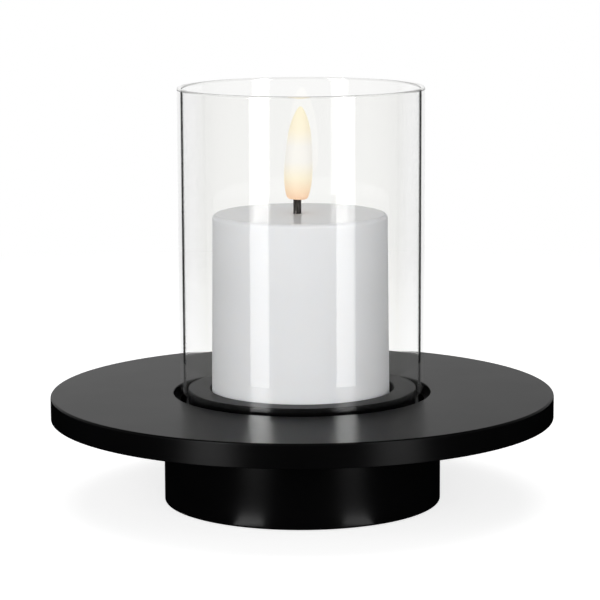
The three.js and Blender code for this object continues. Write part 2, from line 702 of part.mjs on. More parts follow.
// Ribbed black tube with a bore for the lamp's wires.
function stemGeometry() {
  const section = new THREE.Shape();
  const steps = STEM_RIBS * 4;
  for (let i = 0; i < steps; i += 1) {
    const angle = 2 * Math.PI * i / steps;
    const radius = STEM_RADIUS - STEM_RIB_DEPTH * (1 - Math.cos(STEM_RIBS * angle)) / 2;
    const [x, y] = [radius * Math.cos(angle), radius * Math.sin(angle)];
    if (i === 0) {
      section.moveTo(x, y);
    } else {
      section.lineTo(x, y);
    }
  }
  section.closePath();
  const bore = new THREE.Path();
  bore.absarc(0, 0, STEM_BORE, 0, 2 * Math.PI, true);
  section.holes.push(bore);
  return prism(section, STEM_BOTTOM, STEM_TOP);
}

// Domed lamp with a flange, standing on height 0.
function lampGeometry() {
  return turned([
    [0, 0],
    [LAMP_FLANGE_RADIUS, 0],
    [LAMP_FLANGE_RADIUS, LAMP_FLANGE],
    [LAMP_RADIUS, LAMP_FLANGE],
    [LAMP_RADIUS, LAMP_HEIGHT, LAMP_RADIUS * 0.9],
    [0, LAMP_HEIGHT],
  ], SMALL);
}

function lampWireGeometry(side) {
  const x = side * LAMP_WIRE_SPREAD;
  return disc(LAMP_WIRE_RADIUS, BOARD_TOP + SEAT, LAMP_BOTTOM - SEAT, SMALL / 2, x, 0);
}

// Outline of the flame, as shares of its radius and height, from the foot up to the tip.
function flameCurve() {
  const shares = [
    [0.72, 0.018], [0.87, 0.09], [0.97, 0.2], [1, 0.31], [0.975, 0.43], [0.9, 0.58],
    [0.775, 0.73], [0.6, 0.84], [0.37, 0.93], [0.16, 0.985],
  ];
  return new THREE.SplineCurve(shares.map(([r, z]) => new THREE.Vector2(r * BULB_RADIUS, z * BULB_HEIGHT)));
}

// Hollow flame-shaped diffuser with a hole in its foot for the stem, standing on height 0.
function bulbGeometry() {
  const socket = STEM_RADIUS + PLAY;
  const outer = flameCurve().getPoints(14);
  const inner = flameCurve().getPoints(8).map((point) => new THREE.Vector2(
    Math.max(point.x - BULB_WALL, 0),
    BULB_WALL + point.y * (1 - 2.4 * BULB_WALL / BULB_HEIGHT),
  )).filter((point) => point.x > 0);
  const innerTop = inner[inner.length - 1].y + BULB_WALL / 2;
  const points = [
    new THREE.Vector2(socket, 0),
    ...outer,
    new THREE.Vector2(0, BULB_HEIGHT),
    new THREE.Vector2(0, innerTop),
    ...inner.reverse(),
    new THREE.Vector2(socket, BULB_WALL),
    new THREE.Vector2(socket, 0),
  ];
  return revolve(points, FINE);
}

function named(name, geometry, finish) {
  const mesh = new THREE.Mesh(geometry, FINISHES[finish]);
  mesh.name = name;
  return mesh;
}

function baseGroup() {
  const group = new THREE.Group();
  group.add(named('foot', footGeometry(), 'blackLacquer'));
  group.add(named('plate', plateGeometry(), 'blackLacquer'));
  group.add(named('centring_ring', ringGeometry(), 'blackLacquer'));
  padPlaces.forEach(([x, y], i) => {
    const pad = named(`felt_pad_${i + 1}`, padGeometry(), 'felt');
    pad.position.set(x, y, 0);
    group.add(pad);
  });
  const screwShape = screwGeometry({ ...BASE_SCREW, length: SCREW_TOP - SCREW_SEAT });
  baseScrewPlaces.forEach(([x, y], i) => {
    const screw = named(`base_screw_${i + 1}`, screwShape, 'steel');
    screw.position.set(x, y, SCREW_SEAT - SEAT);
    group.add(screw);
  });
  return group;
}

function switchGroup() {
  const group = new THREE.Group();
  group.position.y = -SWITCH_OFFSET;
  group.add(named('slide_switch', switchGeometry(), 'steel'));
  group.add(named('switch_knob', knobGeometry(), 'blackPlastic'));
  return group;
}

function batteryGroup() {
  const group = new THREE.Group();
  const upright = named('battery_1', cellGeometry(), 'cell');
  upright.position.set(CELL_OFFSET, 0, CELL_BOTTOM);
  group.add(upright);
  const inverted = named('battery_2', cellGeometry(), 'cell');
  inverted.rotation.x = Math.PI;
  inverted.position.set(-CELL_OFFSET, 0, CELL_TOP);
  group.add(inverted);
  const leaf = named('leaf_contact', leafGeometry(), 'spring');
  leaf.position.x = CELL_OFFSET;
  group.add(leaf);
  const spring = named('spring_contact', springGeometry(), 'spring');
  spring.position.x = -CELL_OFFSET;
  group.add(spring);
  [1, -1].forEach((side, i) => {
    const leg = named(`contact_leg_${i + 1}`, contactLegGeometry(), 'spring');
    leg.position.set(side * CELL_OFFSET, contactTabY(), 0);
    group.add(leg);
  });
  return group;
}

function wickGroup() {
  const group = new THREE.Group();
  group.position.x = STEM_SHIFT;
  group.add(named('wick_stem', stemGeometry(), 'wick'));
  const lamp = named('led_lamp', lampGeometry(), 'lamp');
  lamp.position.z = LAMP_BOTTOM;
  group.add(lamp);
  group.add(named('led_lead_1', lampWireGeometry(-1), 'redWire'));
  group.add(named('led_lead_2', lampWireGeometry(1), 'blackWire'));
  const bulb = named('flame_bulb', bulbGeometry(), 'glow');
  bulb.position.z = BULB_BOTTOM;
  bulb.rotation.y = THREE.MathUtils.degToRad(BULB_LEAN_DEGREES);
  group.add(bulb);
  return group;
}

function candleGroup() {
  const group = new THREE.Group();
  group.position.set(CANDLE_SHIFT, 0, SEAT_FLOOR);
  group.add(named('wax_shell', waxGeometry(), 'wax'));
  group.add(named('battery_tray', trayGeometry(), 'whitePlastic'));
  group.add(named('tray_cap', capGeometry(), 'whitePlastic'));
  capScrewPlaces.forEach(([x, y], i) => {
    const screw = named(`cap_screw_${i + 1}`, screwGeometry(CAP_SCREW), 'steel');
    screw.rotation.x = Math.PI;
    screw.position.set(x, y, CAP_TOP + SEAT);
    group.add(screw);
  });
  group.add(named('circuit_board', boardGeometry(), 'board'));
  group.add(named('timer_chip', chipGeometry(), 'blackPlastic'));
  group.add(batteryGroup());
  group.add(named('battery_cover', coverGeometry(), 'whitePlastic'));
  group.add(named('bridge_contact', bridgeGeometry(), 'spring'));
  group.add(switchGroup());
  group.add(named('switch_lead_1', switchWireGeometry(-1), 'redWire'));
  group.add(named('switch_lead_2', switchWireGeometry(1), 'blackWire'));
  group.add(wickGroup());
  return group;
}

const lantern = new THREE.Group();
lantern.add(baseGroup());
lantern.add(named('glass_cylinder', glassGeometry(), 'clearGlass'));
lantern.add(candleGroup());

export default lantern;
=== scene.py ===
"""A battery candle on a round black base, under a clear glass sleeve.

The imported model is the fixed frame. Each operator below makes a finer piece in the place of a CAD node,
or gives the nodes that stay their finish. All lengths are in metres.
"""

from contextlib import contextmanager
from functools import cache
from math import cos, pi, radians, sin, tan

import bmesh
import bpy
from bpy.props import FloatProperty, FloatVectorProperty, PointerProperty
from bpy.types import Operator, Panel, PropertyGroup
from mathutils import Matrix, Vector


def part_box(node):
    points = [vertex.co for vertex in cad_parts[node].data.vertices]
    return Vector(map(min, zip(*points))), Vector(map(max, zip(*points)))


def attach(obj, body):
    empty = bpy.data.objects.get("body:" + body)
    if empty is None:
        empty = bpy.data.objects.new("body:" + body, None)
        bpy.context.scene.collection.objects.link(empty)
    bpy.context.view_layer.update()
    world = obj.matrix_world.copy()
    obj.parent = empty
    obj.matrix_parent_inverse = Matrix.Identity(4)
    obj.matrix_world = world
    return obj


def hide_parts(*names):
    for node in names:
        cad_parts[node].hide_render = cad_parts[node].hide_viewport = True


bl_info = {
    "name": "LED Lantern",
    "version": (1, 0, 0),
    "blender": (4, 5, 0),
    "location": "3D View > Sidebar > Lantern",
    "description": "Builds a battery candle on a black base under a glass sleeve",
    "category": "Add Mesh",
}

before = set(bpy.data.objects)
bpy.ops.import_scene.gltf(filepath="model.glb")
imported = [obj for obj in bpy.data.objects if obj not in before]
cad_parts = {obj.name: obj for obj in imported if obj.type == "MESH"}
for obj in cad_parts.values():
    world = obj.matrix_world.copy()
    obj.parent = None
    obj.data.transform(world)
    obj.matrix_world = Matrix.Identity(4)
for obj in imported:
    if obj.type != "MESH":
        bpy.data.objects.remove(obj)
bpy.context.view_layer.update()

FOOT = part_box("foot")
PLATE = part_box("plate")
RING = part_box("centring_ring")
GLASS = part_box("glass_cylinder")
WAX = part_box("wax_shell")
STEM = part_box("wick_stem")
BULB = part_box("flame_bulb")

# Facets of the wide rounds, the glass, the pads, the screws' heads with the wick's hole, and the shanks
ROUND = 192
GLASS_ROUND = 256
PAD_ROUND = 64
SMALL_ROUND = 40
SHANK_ROUND = 24
# Points this near each other count as one, and on one circle if their radii differ by no more than that
SAME_PLACE = 2e-6
SAME_RADIUS = SAME_PLACE * 5
# Faces of a CAD copy that turn by less than this become one, and edges that turn by more are rounded
FLAT_ANGLE = radians(0.5)
SHARP_ANGLE = radians(40)
# How far a cutter reaches past the face that it opens
OVERRUN = 0.001
# What stays free over a pad and a screw's head
SEAT_PLAY = 0.0001
# The numbers of the four pads and of the four screws
FASTENERS = range(1, 5)
WHITE = (1.0, 1.0, 1.0, 1.0)
# The Mix node's sockets by number, because those for values and for colours share their names
VALUE_A, VALUE_B, MIXED_VALUE = 2, 3, 0
COLOUR_A, COLOUR_B, MIXED_COLOUR = 6, 7, 2


# Properties


def length_property(name, description, default):
    """A size."""
    return FloatProperty(name=name, description=description, default=default, min=0.0, unit="LENGTH")


def level_property(name, description, default):
    """The brightness of a light or of the flame's glow."""
    return FloatProperty(name=name, description=description, default=default, min=0.0)


def angle_property(name, description, degrees):
    """An angle that is given in degrees."""
    return FloatProperty(name=name, description=description, default=radians(degrees), subtype="ANGLE")


def colour_property(name, description, default):
    """The colour of a finish."""
    return FloatVectorProperty(
        name=name, description=description, default=default, subtype="COLOR", min=0.0, max=1.0,
    )


class LanternBaseSizes(PropertyGroup):
    """Sizes of the black base."""

    plate_edge: length_property("Plate edge", "Rounding of the plate's upper edge", 0.0009)
    plate_lower_edge: length_property("Plate lower edge", "Rounding of the plate's lower edge", 0.0003)
    recess_radius: length_property("Recess radius", "Radius of the round recess in the plate", 0.05425)
    recess_depth: length_property("Recess depth", "Depth of the round recess in the plate", 0.0045)
    recess_lip: length_property("Recess lip", "Rounding of the recess's upper edge", 0.0004)
    foot_edge: length_property("Foot edge", "Rounding of the foot's lower edge", 0.0008)
    ring_bore: length_property("Ring bore", "Radius of the bore that the candle stands in", 0.0387)
    ring_edge: length_property("Ring edge", "Rounding of the ring's upper edges", 0.0006)
    fastener_play: length_property("Fastener play", "Space round the pads and the screws' shanks", 0.0003)
    screw_shank: length_property("Screw shank", "Radius of the base screws' shanks", 0.002)
    screw_head: length_property("Screw head", "Height of the base screws' heads", 0.0026)


class LanternGlassSizes(PropertyGroup):
    """Sizes of the glass sleeve."""

    wall: length_property("Wall", "Thickness of the glass", 0.002)
    rim: length_property("Rim", "Fire-polished rounding of the upper rim", 0.0009)
    foot: length_property("Foot", "Rounding of the ground lower edge", 0.0003)


class LanternCandleSizes(PropertyGroup):
    """Sizes of the wax shell, the wick and the flame."""

    top_radius: length_property("Top radius", "Radius of the candle's upper end", 0.03665)
    top_edge: length_property("Top edge", "Rounding of the candle's upper edge", 0.0018)
    rebate_radius: length_property(
        "Rebate radius", "Radius of the rebate that holds the battery insert", 0.0345,
    )
    rebate_depth: length_property("Rebate depth", "Depth of the rebate in the candle's foot", 0.0036)
    bore: length_property("Bore", "Radius of the hollow in the wax", 0.032)
    roof: length_property("Roof", "Thickness of the wax above the hollow", 0.004)
    wick_hole: length_property("Wick hole", "Radius of the hole for the wick", 0.00205)
    groove: length_property("Wick groove", "Depth of the grooves along the wick", 0.00022)
    flame_radius: length_property("Flame radius", "Widest radius of the flame bulb", 0.00595)
    flame_height: length_property("Flame height", "Height of the flame bulb along its own axis", 0.0388)
    flame_wall: length_property("Flame wall", "Thickness of the flame bulb's wall", 0.0012)
    flame_lean: angle_property("Flame lean", "How far the flame bulb leans to the right", 2.2)


class LanternColours(PropertyGroup):
    """Colours of the finishes, and how strongly the flame glows."""

    lacquer: colour_property("Lacquer", "Satin black lacquer of the base", (0.0011, 0.0011, 0.0012))
    wax: colour_property("Wax", "Cool white wax", (0.8, 0.807, 0.825))
    flame: colour_property("Flame", "Frosted bulb under its own glow", (0.3, 0.29, 0.26))
    glow: level_property("Glow", "Strength of the flame's glow", 0.74)


class LanternStageSettings(PropertyGroup):
    """Light levels and the camera."""

    ambient: level_property("Ambient", "Light from all round", 0.15)
    front: level_property("Front", "Brightness of the soft light at the front", 7.2)
    left: level_property("Left", "Brightness of the soft light at the front left", 2.7)
    right: level_property("Right", "Brightness of the soft light at the front right", 2.0)
    top: level_property("Top", "Brightness of the soft light from above", 1.4)
    horizon: level_property("Horizon", "Brightness of the backdrop in reflections", 1.0)
    low_strips: level_property("Low strips", "Brightness of the strips' lower parts in reflections", 3.4)
    high_strips: level_property(
        "High strips", "Brightness of the strips' upper parts in reflections", 98.0,
    )
    glass_strips: level_property(
        "Glass strips", "Brightness added to the strips' lower parts for the glass alone", 0.85,
    )
    plate_strips: level_property(
        "Plate strips", "Brightness of the strips that the plate mirrors into the glass", 26.0,
    )
    floor_patches: level_property(
        "Floor patches", "Brightness of the strips' images in the floor, in reflections", 20.0,
    )
    lens: FloatProperty(
        name="Lens", description="Focal length on a 36 mm sensor, in millimetres", default=159.0, min=1.0,
    )
    camera_place: FloatVectorProperty(
        name="Camera place", description="Where the camera stands",
        default=(0.00267, -1.1, 0.26319), unit="LENGTH", subtype="TRANSLATION",
    )
    camera_pitch: angle_property("Camera pitch", "How far the camera looks down", 9.181)
    camera_yaw: angle_property("Camera yaw", "How far the camera looks to the left", 0.178)
    camera_roll: angle_property("Camera roll", "How far the camera leans to the right", 0.228)


# Modelling


def nothing_chosen():
    """Leave no object selected, so that the next operator acts on its own piece alone."""
    bpy.ops.object.select_all(action="DESELECT")


def choose(piece):
    """Select one piece and make it the active one."""
    nothing_chosen()
    piece.select_set(True)
    bpy.context.view_layer.objects.active = piece


@contextmanager
def shaping(piece):
    """Shape one piece in edit mode."""
    choose(piece)
    bpy.ops.object.mode_set(mode="EDIT")
    yield
    bpy.ops.object.mode_set(mode="OBJECT")


def upright(node):
    """The lowest and the highest level of a round CAD node, its centre line and its radius."""
    low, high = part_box(node)
    return low.z, high.z, ((low + high) / 2).xy, (high.x - low.x) / 2


def block_out(name, radius, low, high, facets=ROUND, centre=(0.0, 0.0), top_radius=None, caps="NGON"):
    """Add a round blank between two heights, ready to be shaped in edit mode."""
    nothing_chosen()
    place = (centre[0], centre[1], (low + high) / 2)
    if top_radius is None:
        bpy.ops.mesh.primitive_cylinder_add(
            vertices=facets, radius=radius, depth=high - low, location=place, end_fill_type=caps,
        )
    else:
        bpy.ops.mesh.primitive_cone_add(
            vertices=facets, radius1=radius, radius2=top_radius, depth=high - low, location=place,
            end_fill_type=caps,
        )
    piece = bpy.context.object
    piece.name = piece.data.name = name
    bpy.ops.object.transform_apply(location=True, rotation=True, scale=True)
    return piece


def pick(piece, kind, test):
    """In edit mode, select the VERT, EDGE or FACE elements whose corners all pass the test."""
    bpy.ops.mesh.select_mode(type=kind)
    bpy.ops.mesh.select_all(action="DESELECT")
    mesh = bmesh.from_edit_mesh(piece.data)
    elements = {"VERT": mesh.verts, "EDGE": mesh.edges, "FACE": mesh.faces}[kind]
    for element in elements:
        corners = [element] if kind == "VERT" else element.verts
        element.select_set(all(test(corner.co) for corner in corners))
    bmesh.update_edit_mesh(piece.data)


def at_height(height):
    """A test for points at one height."""
    return lambda point: abs(point.z - height) < SAME_PLACE


def on_circle(radius, height, centre=(0.0, 0.0)):
    """A test for points on one level circle."""
    middle = Vector(centre)
    return lambda point: (
        abs(point.z - height) < SAME_PLACE and abs((point.xy - middle).length - radius) < SAME_RADIUS
    )


def near_any(marks):
    """A test for points that stand over or under one of the marks."""
    return lambda point: any((point.xy - mark).length < SAME_RADIUS for mark in marks)


def narrow(radius, next_radius, centre):
    """Extrude the selected flat face in place and bring it to a new radius."""
    share = next_radius / radius
    bpy.ops.mesh.extrude_region_move(TRANSFORM_OT_translate={"value": (0.0, 0.0, 0.0)})
    bpy.ops.transform.resize(value=(share, share, 1.0), center_override=centre)


def rise(height):
    """Extrude the selected face straight up, or down where the height is below nought."""
    bpy.ops.mesh.extrude_region_move(TRANSFORM_OT_translate={"value": (0.0, 0.0, height)})


def round_over(piece, radius, height, width, segments, centre=(0.0, 0.0)):
    """Bevel the edge that runs round one circle."""
    pick(piece, "EDGE", on_circle(radius, height, centre))
    bpy.ops.mesh.bevel(offset=width, offset_type="OFFSET", segments=segments, profile=0.5, affect="EDGES")


def turn_outwards():
    """In edit mode, merge doubled points and turn all faces outwards."""
    bpy.ops.mesh.select_all(action="SELECT")
    bpy.ops.mesh.remove_doubles(threshold=SAME_PLACE)
    bpy.ops.mesh.normals_make_consistent(inside=False)


def run_modifier(piece, kind, **settings):
    """Add a modifier to a piece and apply it."""
    choose(piece)
    modifier = piece.modifiers.new(kind.title(), kind)
    for setting, value in settings.items():
        setattr(modifier, setting, value)
    bpy.ops.object.modifier_apply(modifier=modifier.name)


def cut(piece, tool):
    """Take a tool's shape out of a piece and throw the tool away."""
    run_modifier(piece, "BOOLEAN", operation="DIFFERENCE", solver="EXACT", object=tool)
    bpy.data.objects.remove(tool)


def give_wall(piece, wall):
    """Give an open round shell its wall, and tell the radius of the inner face."""
    run_modifier(piece, "SOLIDIFY", thickness=wall, offset=-1.0, use_even_offset=True)
    with shaping(piece):
        turn_outwards()
    return min(corner.co.xy.length for corner in piece.data.vertices)


def cut_screw_hole(piece, number, sizes, low, high):
    """Cut the hole for the shank of one base screw."""
    middle = upright(f"base_screw_{number}")[2]
    radius = sizes.screw_shank + sizes.fastener_play
    cut(piece, block_out("hole", radius, low - OVERRUN, high + OVERRUN, SHANK_ROUND, middle))


def complete(piece, finish, body, nodes, smooth_degrees=32):
    """Smooth a piece, give it its finish, and let it stand for its CAD nodes, if any, on their body."""
    choose(piece)
    bpy.ops.object.transform_apply(location=True, rotation=True, scale=True)
    bpy.ops.object.shade_smooth_by_angle(angle=radians(smooth_degrees))
    run_modifier(piece, "WEIGHTED_NORMAL", keep_sharp=True, weight=80)
    piece.data.materials.clear()
    piece.data.materials.append(finish)
    if nodes:
        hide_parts(*nodes)
    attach(piece, body)


def softened_copy(node, name, finish, body, width, segments=2):
    """Copy a CAD node, merge its loose triangles, and round its sharp edges a little."""
    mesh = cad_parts[node].data.copy()
    piece = bpy.data.objects.new(name, mesh)
    mesh.name = name
    bpy.context.scene.collection.objects.link(piece)
    with shaping(piece):
        bpy.ops.mesh.select_all(action="SELECT")
        bpy.ops.mesh.remove_doubles(threshold=SAME_PLACE)
        bpy.ops.mesh.customdata_custom_splitnormals_clear()
        bpy.ops.mesh.dissolve_limited(angle_limit=FLAT_ANGLE)
    run_modifier(
        piece, "BEVEL", width=width, segments=segments, limit_method="ANGLE", angle_limit=SHARP_ANGLE,
        use_clamp_overlap=True,
    )
    complete(piece, finish, body, [node])
    return piece


# Finishes


def grey(level):
    """A grey of one level."""
    return (level, level, level)


def shaded(colour, factor):
    """A colour made lighter or darker."""
    return tuple(min(channel * factor, 1.0) for channel in colour)


class Nodes:
    """A node tree in the making."""

    def __init__(self, tree):
        self.tree = tree

    def add(self, kind, inputs=None, **settings):
        """Add a node, set it up, and link or fill its inputs."""
        node = self.tree.nodes.new(kind)
        for setting, value in settings.items():
            setattr(node, setting, value)
        for socket, value in (inputs or {}).items():
            if isinstance(value, bpy.types.NodeSocket):
                self.tree.links.new(value, node.inputs[socket])
            else:
                node.inputs[socket].default_value = value
        return node

    def reckon(self, operation, first, second, use_clamp=False):
        """Reckon with two values."""
        values = {0: first, 1: second}
        return self.add("ShaderNodeMath", values, operation=operation, use_clamp=use_clamp).outputs[0]

    def mix(self, factor, first, second, blend_type="MIX"):
        """Mix two colours, or multiply them."""
        colours = {"Factor": factor, COLOUR_A: first, COLOUR_B: second}
        node = self.add("ShaderNodeMix", colours, data_type="RGBA", blend_type=blend_type)
        return node.outputs[MIXED_COLOUR]

    def between(self, source, low, high, start=0.3, end=0.7):
        """Turn a source that runs from start to end into a value from low to high."""
        span = {"Value": source, "From Min": start, "From Max": end, "To Min": low, "To Max": high}
        return self.add("ShaderNodeMapRange", span).outputs["Result"]

    def ramp(self, source, stops):
        """Turn a source into a colour, from stops of (position, colour)."""
        node = self.add("ShaderNodeValToRGB", {"Fac": source})
        blend = node.color_ramp
        while len(blend.elements) < len(stops):
            blend.elements.new(0.5)
        for element, (position, colour) in zip(blend.elements, stops):
            element.position = position
            element.color = (*colour, 1.0)
        return node.outputs["Color"]

    def grey_ramp(self, source, stops):
        """Turn a source into a grey, from stops of (position, level)."""
        return self.ramp(source, [(position, grey(level)) for position, level in stops])


class Finish(Nodes):
    """A material in the making: its shader, and places on the piece in its own coordinates."""

    def __init__(self, name, sockets):
        self.material = bpy.data.materials.new(name)
        self.material.use_nodes = True
        super().__init__(self.material.node_tree)
        self.shader = self.tree.nodes["Principled BSDF"]
        for socket, value in sockets.items():
            self.shader.inputs[socket].default_value = value
        self.place = self.add("ShaderNodeTexCoord").outputs["Object"]

    def drive(self, socket, source):
        """Link a source to one of the shader's sockets."""
        self.tree.links.new(source, self.shader.inputs[socket])

    def grain(self, size, detail=3.0, stretch=(1.0, 1.0, 1.0)):
        """Noise whose features are about that size, stretched along the axes."""
        spread = self.add("ShaderNodeMapping", {"Vector": self.place, "Scale": stretch})
        noise = {"Vector": spread.outputs["Vector"], "Scale": 1 / size, "Detail": detail}
        return self.add("ShaderNodeTexNoise", noise).outputs["Fac"]

    def height(self, low, high):
        """A value that goes from nought to one between two heights."""
        axes = self.add("ShaderNodeSeparateXYZ", {"Vector": self.place})
        return self.between(axes.outputs["Z"], 0.0, 1.0, low, high)

    def relief(self, source, depth, strength=1.0):
        """Let a source raise and lower the surface by that depth."""
        bump = self.add("ShaderNodeBump", {"Height": source, "Distance": depth, "Strength": strength})
        self.drive("Normal", bump.outputs["Normal"])


class GlassFinish(Finish):
    """Clear glass in the making, and where on the sleeve a ray meets it."""

    clear = (1.0, 1.0, 0.995)
    # Where along the slant the painted dark line starts, is full and is gone
    line_starts, line_ends, line_gone = 0.715, 0.75, 0.785
    # How far above the plate the glass is painted darker where the plate mirrors it
    plate_image_reach = 0.01

    def __init__(self, name, sockets):
        super().__init__(name, sockets)
        self.slant = self.add("ShaderNodeLayerWeight", {"Blend": 0.5}).outputs["Facing"]
        level = self.add("ShaderNodeVectorMath", {0: self.place, 1: (1.0, 1.0, 0.0)}, operation="MULTIPLY")
        reach = self.add("ShaderNodeVectorMath", {0: level.outputs["Vector"]}, operation="LENGTH")
        middle = GLASS[1].x - bpy.context.scene.lantern_glass.wall / 2
        self.outer = self.reckon("GREATER_THAN", reach.outputs["Value"], middle)
        bounces = self.add("ShaderNodeLightPath").outputs["Glossy Depth"]
        self.mirrored = self.reckon("GREATER_THAN", bounces, 0.5)
        self.leaving = self.add("ShaderNodeNewGeometry").outputs["Backfacing"]
        self.entering = self.reckon("SUBTRACT", self.outer, self.leaving, use_clamp=True)

    def near_ends(self, top, foot):
        """A value that goes from nought to one near the rim and near the foot, from pairs of depths."""
        rim = self.height(GLASS[1].z - top[0], GLASS[1].z - top[1])
        ground = self.height(GLASS[0].z + foot[0], GLASS[0].z + foot[1])
        return self.reckon("ADD", rim, ground)

    def painted_shade(self):
        """Painted shade in the colour: dark lines at the sides, grey ends, and a darker image in the black
        plate's reflection.
        """
        # Painted shade: the glass is painted greyer towards its sides, with a painted dark line where the
        # outer face is seen over the inner one
        line = grey(0.03)
        outer_painted_shade = self.ramp(self.slant, [
            (0.0, self.clear), (0.45, (0.99, 0.99, 0.985)), (0.6, (0.94, 0.94, 0.935)),
            (0.67, (0.78, 0.78, 0.775)), (self.line_starts, line), (self.line_ends, line),
            (self.line_gone, (0.95, 0.95, 0.945)), (1.0, self.clear),
        ])
        seen = self.mix(self.outer, (*self.clear, 1.0), outer_painted_shade)
        # Painted shade in reflections: seen in the plate, the glass is painted darker close to the plate
        above_plate = self.height(PLATE[1].z, PLATE[1].z + self.plate_image_reach)
        painted_plate_shade = self.grey_ramp(above_plate, [(0.0, 0.03), (0.2, 0.06), (0.6, 0.7)])
        image = self.mix(self.entering, (*grey(0.7), 1.0), painted_plate_shade)
        dimmed = self.mix(self.mirrored, seen, image)
        # Painted shade: grey at the rim and the foot, darker where they are seen at a slant
        lip = self.near_ends((0.001, 0.0005), (0.0009, 0.0004))
        shade = self.ramp(self.slant, [
            (0.0, (0.8, 0.8, 0.795)), (0.45, (0.7, 0.7, 0.69)), (0.8, (0.4, 0.4, 0.39)),
        ])
        ends = self.mix(lip, (*self.clear, 1.0), shade)
        return self.mix(1.0, dimmed, ends, "MULTIPLY")

    def solidity(self):
        """How much light meets the glass: all of it at the painted dark lines, the painted ends and in
        reflections, and less at a slant.
        """
        body = self.grey_ramp(self.slant, [(0.0, 1.0), (0.4, 1.0), (0.5, 0.5), (0.62, 0.25), (1.0, 0.1)])
        steep = self.between(self.slant, 1.0, 0.0, 0.29, 0.4)
        faces = {"Factor": self.leaving, VALUE_A: body, VALUE_B: steep}
        kept = self.add("ShaderNodeMix", faces).outputs[MIXED_VALUE]
        # The glass is kept whole where the painted dark line falls, so that the painted shade shows
        dark_line = self.grey_ramp(self.slant, [
            (0.0, 0.0), (0.64, 0.0), (0.68, 0.3), (self.line_starts, 1.0), (self.line_ends, 1.0),
            (self.line_gone, 0.0),
        ])
        lined = self.reckon("MAXIMUM", kept, self.reckon("MULTIPLY", dark_line, self.entering))
        rim = self.near_ends((0.0012, 0.0008), (0.0012, 0.0008))
        # Whole in reflections, so that the painted darker image in the plate shows
        return self.reckon("MAXIMUM", self.reckon("MAXIMUM", lined, rim), self.mirrored)


@cache
def black_lacquer():
    """Satin black lacquer, with the faint unevenness of a sprayed coat."""
    colour = tuple(bpy.context.scene.lantern_colours.lacquer)
    finish = Finish("satin_black_lacquer", {"Specular IOR Level": 0.025, "Roughness": 0.28})
    cloud = finish.grain(0.03, detail=2.0)
    finish.drive("Base Color", finish.ramp(cloud, [(0.35, colour), (0.65, shaded(colour, 1.4))]))
    finish.drive("Roughness", finish.between(finish.grain(0.02, detail=1.0), 0.275, 0.285))
    finish.relief(finish.grain(0.003, detail=1.0), 0.00001, 0.1)
    return finish.material


@cache
def clear_glass():
    """Clear glass with painted shade: a dark line painted down each side, where the outer face is seen over
    the inner one.
    """
    finish = GlassFinish("clear_glass", {"Roughness": 0.0, "IOR": 1.38, "Transmission Weight": 1.0})
    finish.drive("Base Color", finish.painted_shade())
    finish.drive("Alpha", finish.solidity())
    return finish.material


@cache
def cool_wax():
    """Smooth cool white wax, glossy on its flat top and half matt down its side, painted paler towards its
    foot and with painted shade just under its top edge.
    """
    colour = tuple(bpy.context.scene.lantern_colours.wax)
    finish = Finish("cool_white_wax", {
        "Subsurface Weight": 0.25, "Subsurface Radius": (1.0, 0.9, 0.8), "Subsurface Scale": 0.003,
        "Specular IOR Level": 0.2,
    })
    clouded = finish.ramp(finish.grain(0.02), [(0.35, shaded(colour, 0.985)), (0.65, colour)])
    # Painted light: the wax is painted paler towards the foot of the candle
    downward = finish.height(WAX[1].z - 0.03, WAX[0].z)
    painted_lower_light = finish.mix(downward, clouded, (*shaded(colour, 1.13), 1.0))
    # Painted shade: a darker band on the rounded edge just below the top
    near_top = finish.height(WAX[1].z - 0.003, WAX[1].z)
    painted_edge_shade = finish.grey_ramp(near_top, [(0.55, 1.0), (0.75, 0.93), (0.9, 0.9), (0.98, 1.0)])
    finish.drive("Base Color", finish.mix(1.0, painted_lower_light, painted_edge_shade, "MULTIPLY"))
    below_top = finish.height(WAX[1].z - 0.0005, WAX[1].z - 0.0001)
    finish.drive("Roughness", finish.between(below_top, 0.48, 0.14, 0.0, 1.0))
    finish.relief(finish.grain(0.009), 0.0002, 0.06)
    return finish.material


@cache
def wick_sleeve():
    """Black fibre sleeve with fine strands along it."""
    finish = Finish("black_wick_sleeve", {"Roughness": 0.5, "Specular IOR Level": 0.12})
    strands = finish.grain(0.0005, detail=4.0, stretch=(1.0, 1.0, 0.08))
    dark, pale = (0.004, 0.0035, 0.0033), (0.085, 0.079, 0.075)
    finish.drive("Base Color", finish.ramp(strands, [(0.4, dark), (0.62, pale)]))
    finish.relief(strands, 0.0001, 0.5)
    return finish.material


@cache
def frosted_flame():
    """Frosted bulb lit from within: peach at the foot, white in the middle and cream at the tip."""
    colours = bpy.context.scene.lantern_colours
    colour = tuple(colours.flame)
    finish = Finish("frosted_flame", {
        "Roughness": 0.6, "Specular IOR Level": 0.06, "Emission Strength": colours.glow,
    })
    glow = [
        (0.0, (0.95, 0.53, 0.28)), (0.1, (0.99, 0.7, 0.44)), (0.24, (1.0, 0.89, 0.66)),
        (0.42, (0.95, 0.93, 0.9)), (0.58, (0.95, 0.93, 0.9)), (0.75, (1.02, 0.92, 0.7)),
        (1.0, (1.05, 0.95, 0.66)),
    ]
    finish.drive("Emission Color", finish.ramp(finish.height(BULB[0].z, BULB[1].z), glow))
    frost = finish.grain(0.0008)
    finish.drive("Base Color", finish.ramp(frost, [(0.35, shaded(colour, 0.96)), (0.65, colour)]))
    finish.relief(frost, 0.00002, 0.3)
    return finish.material


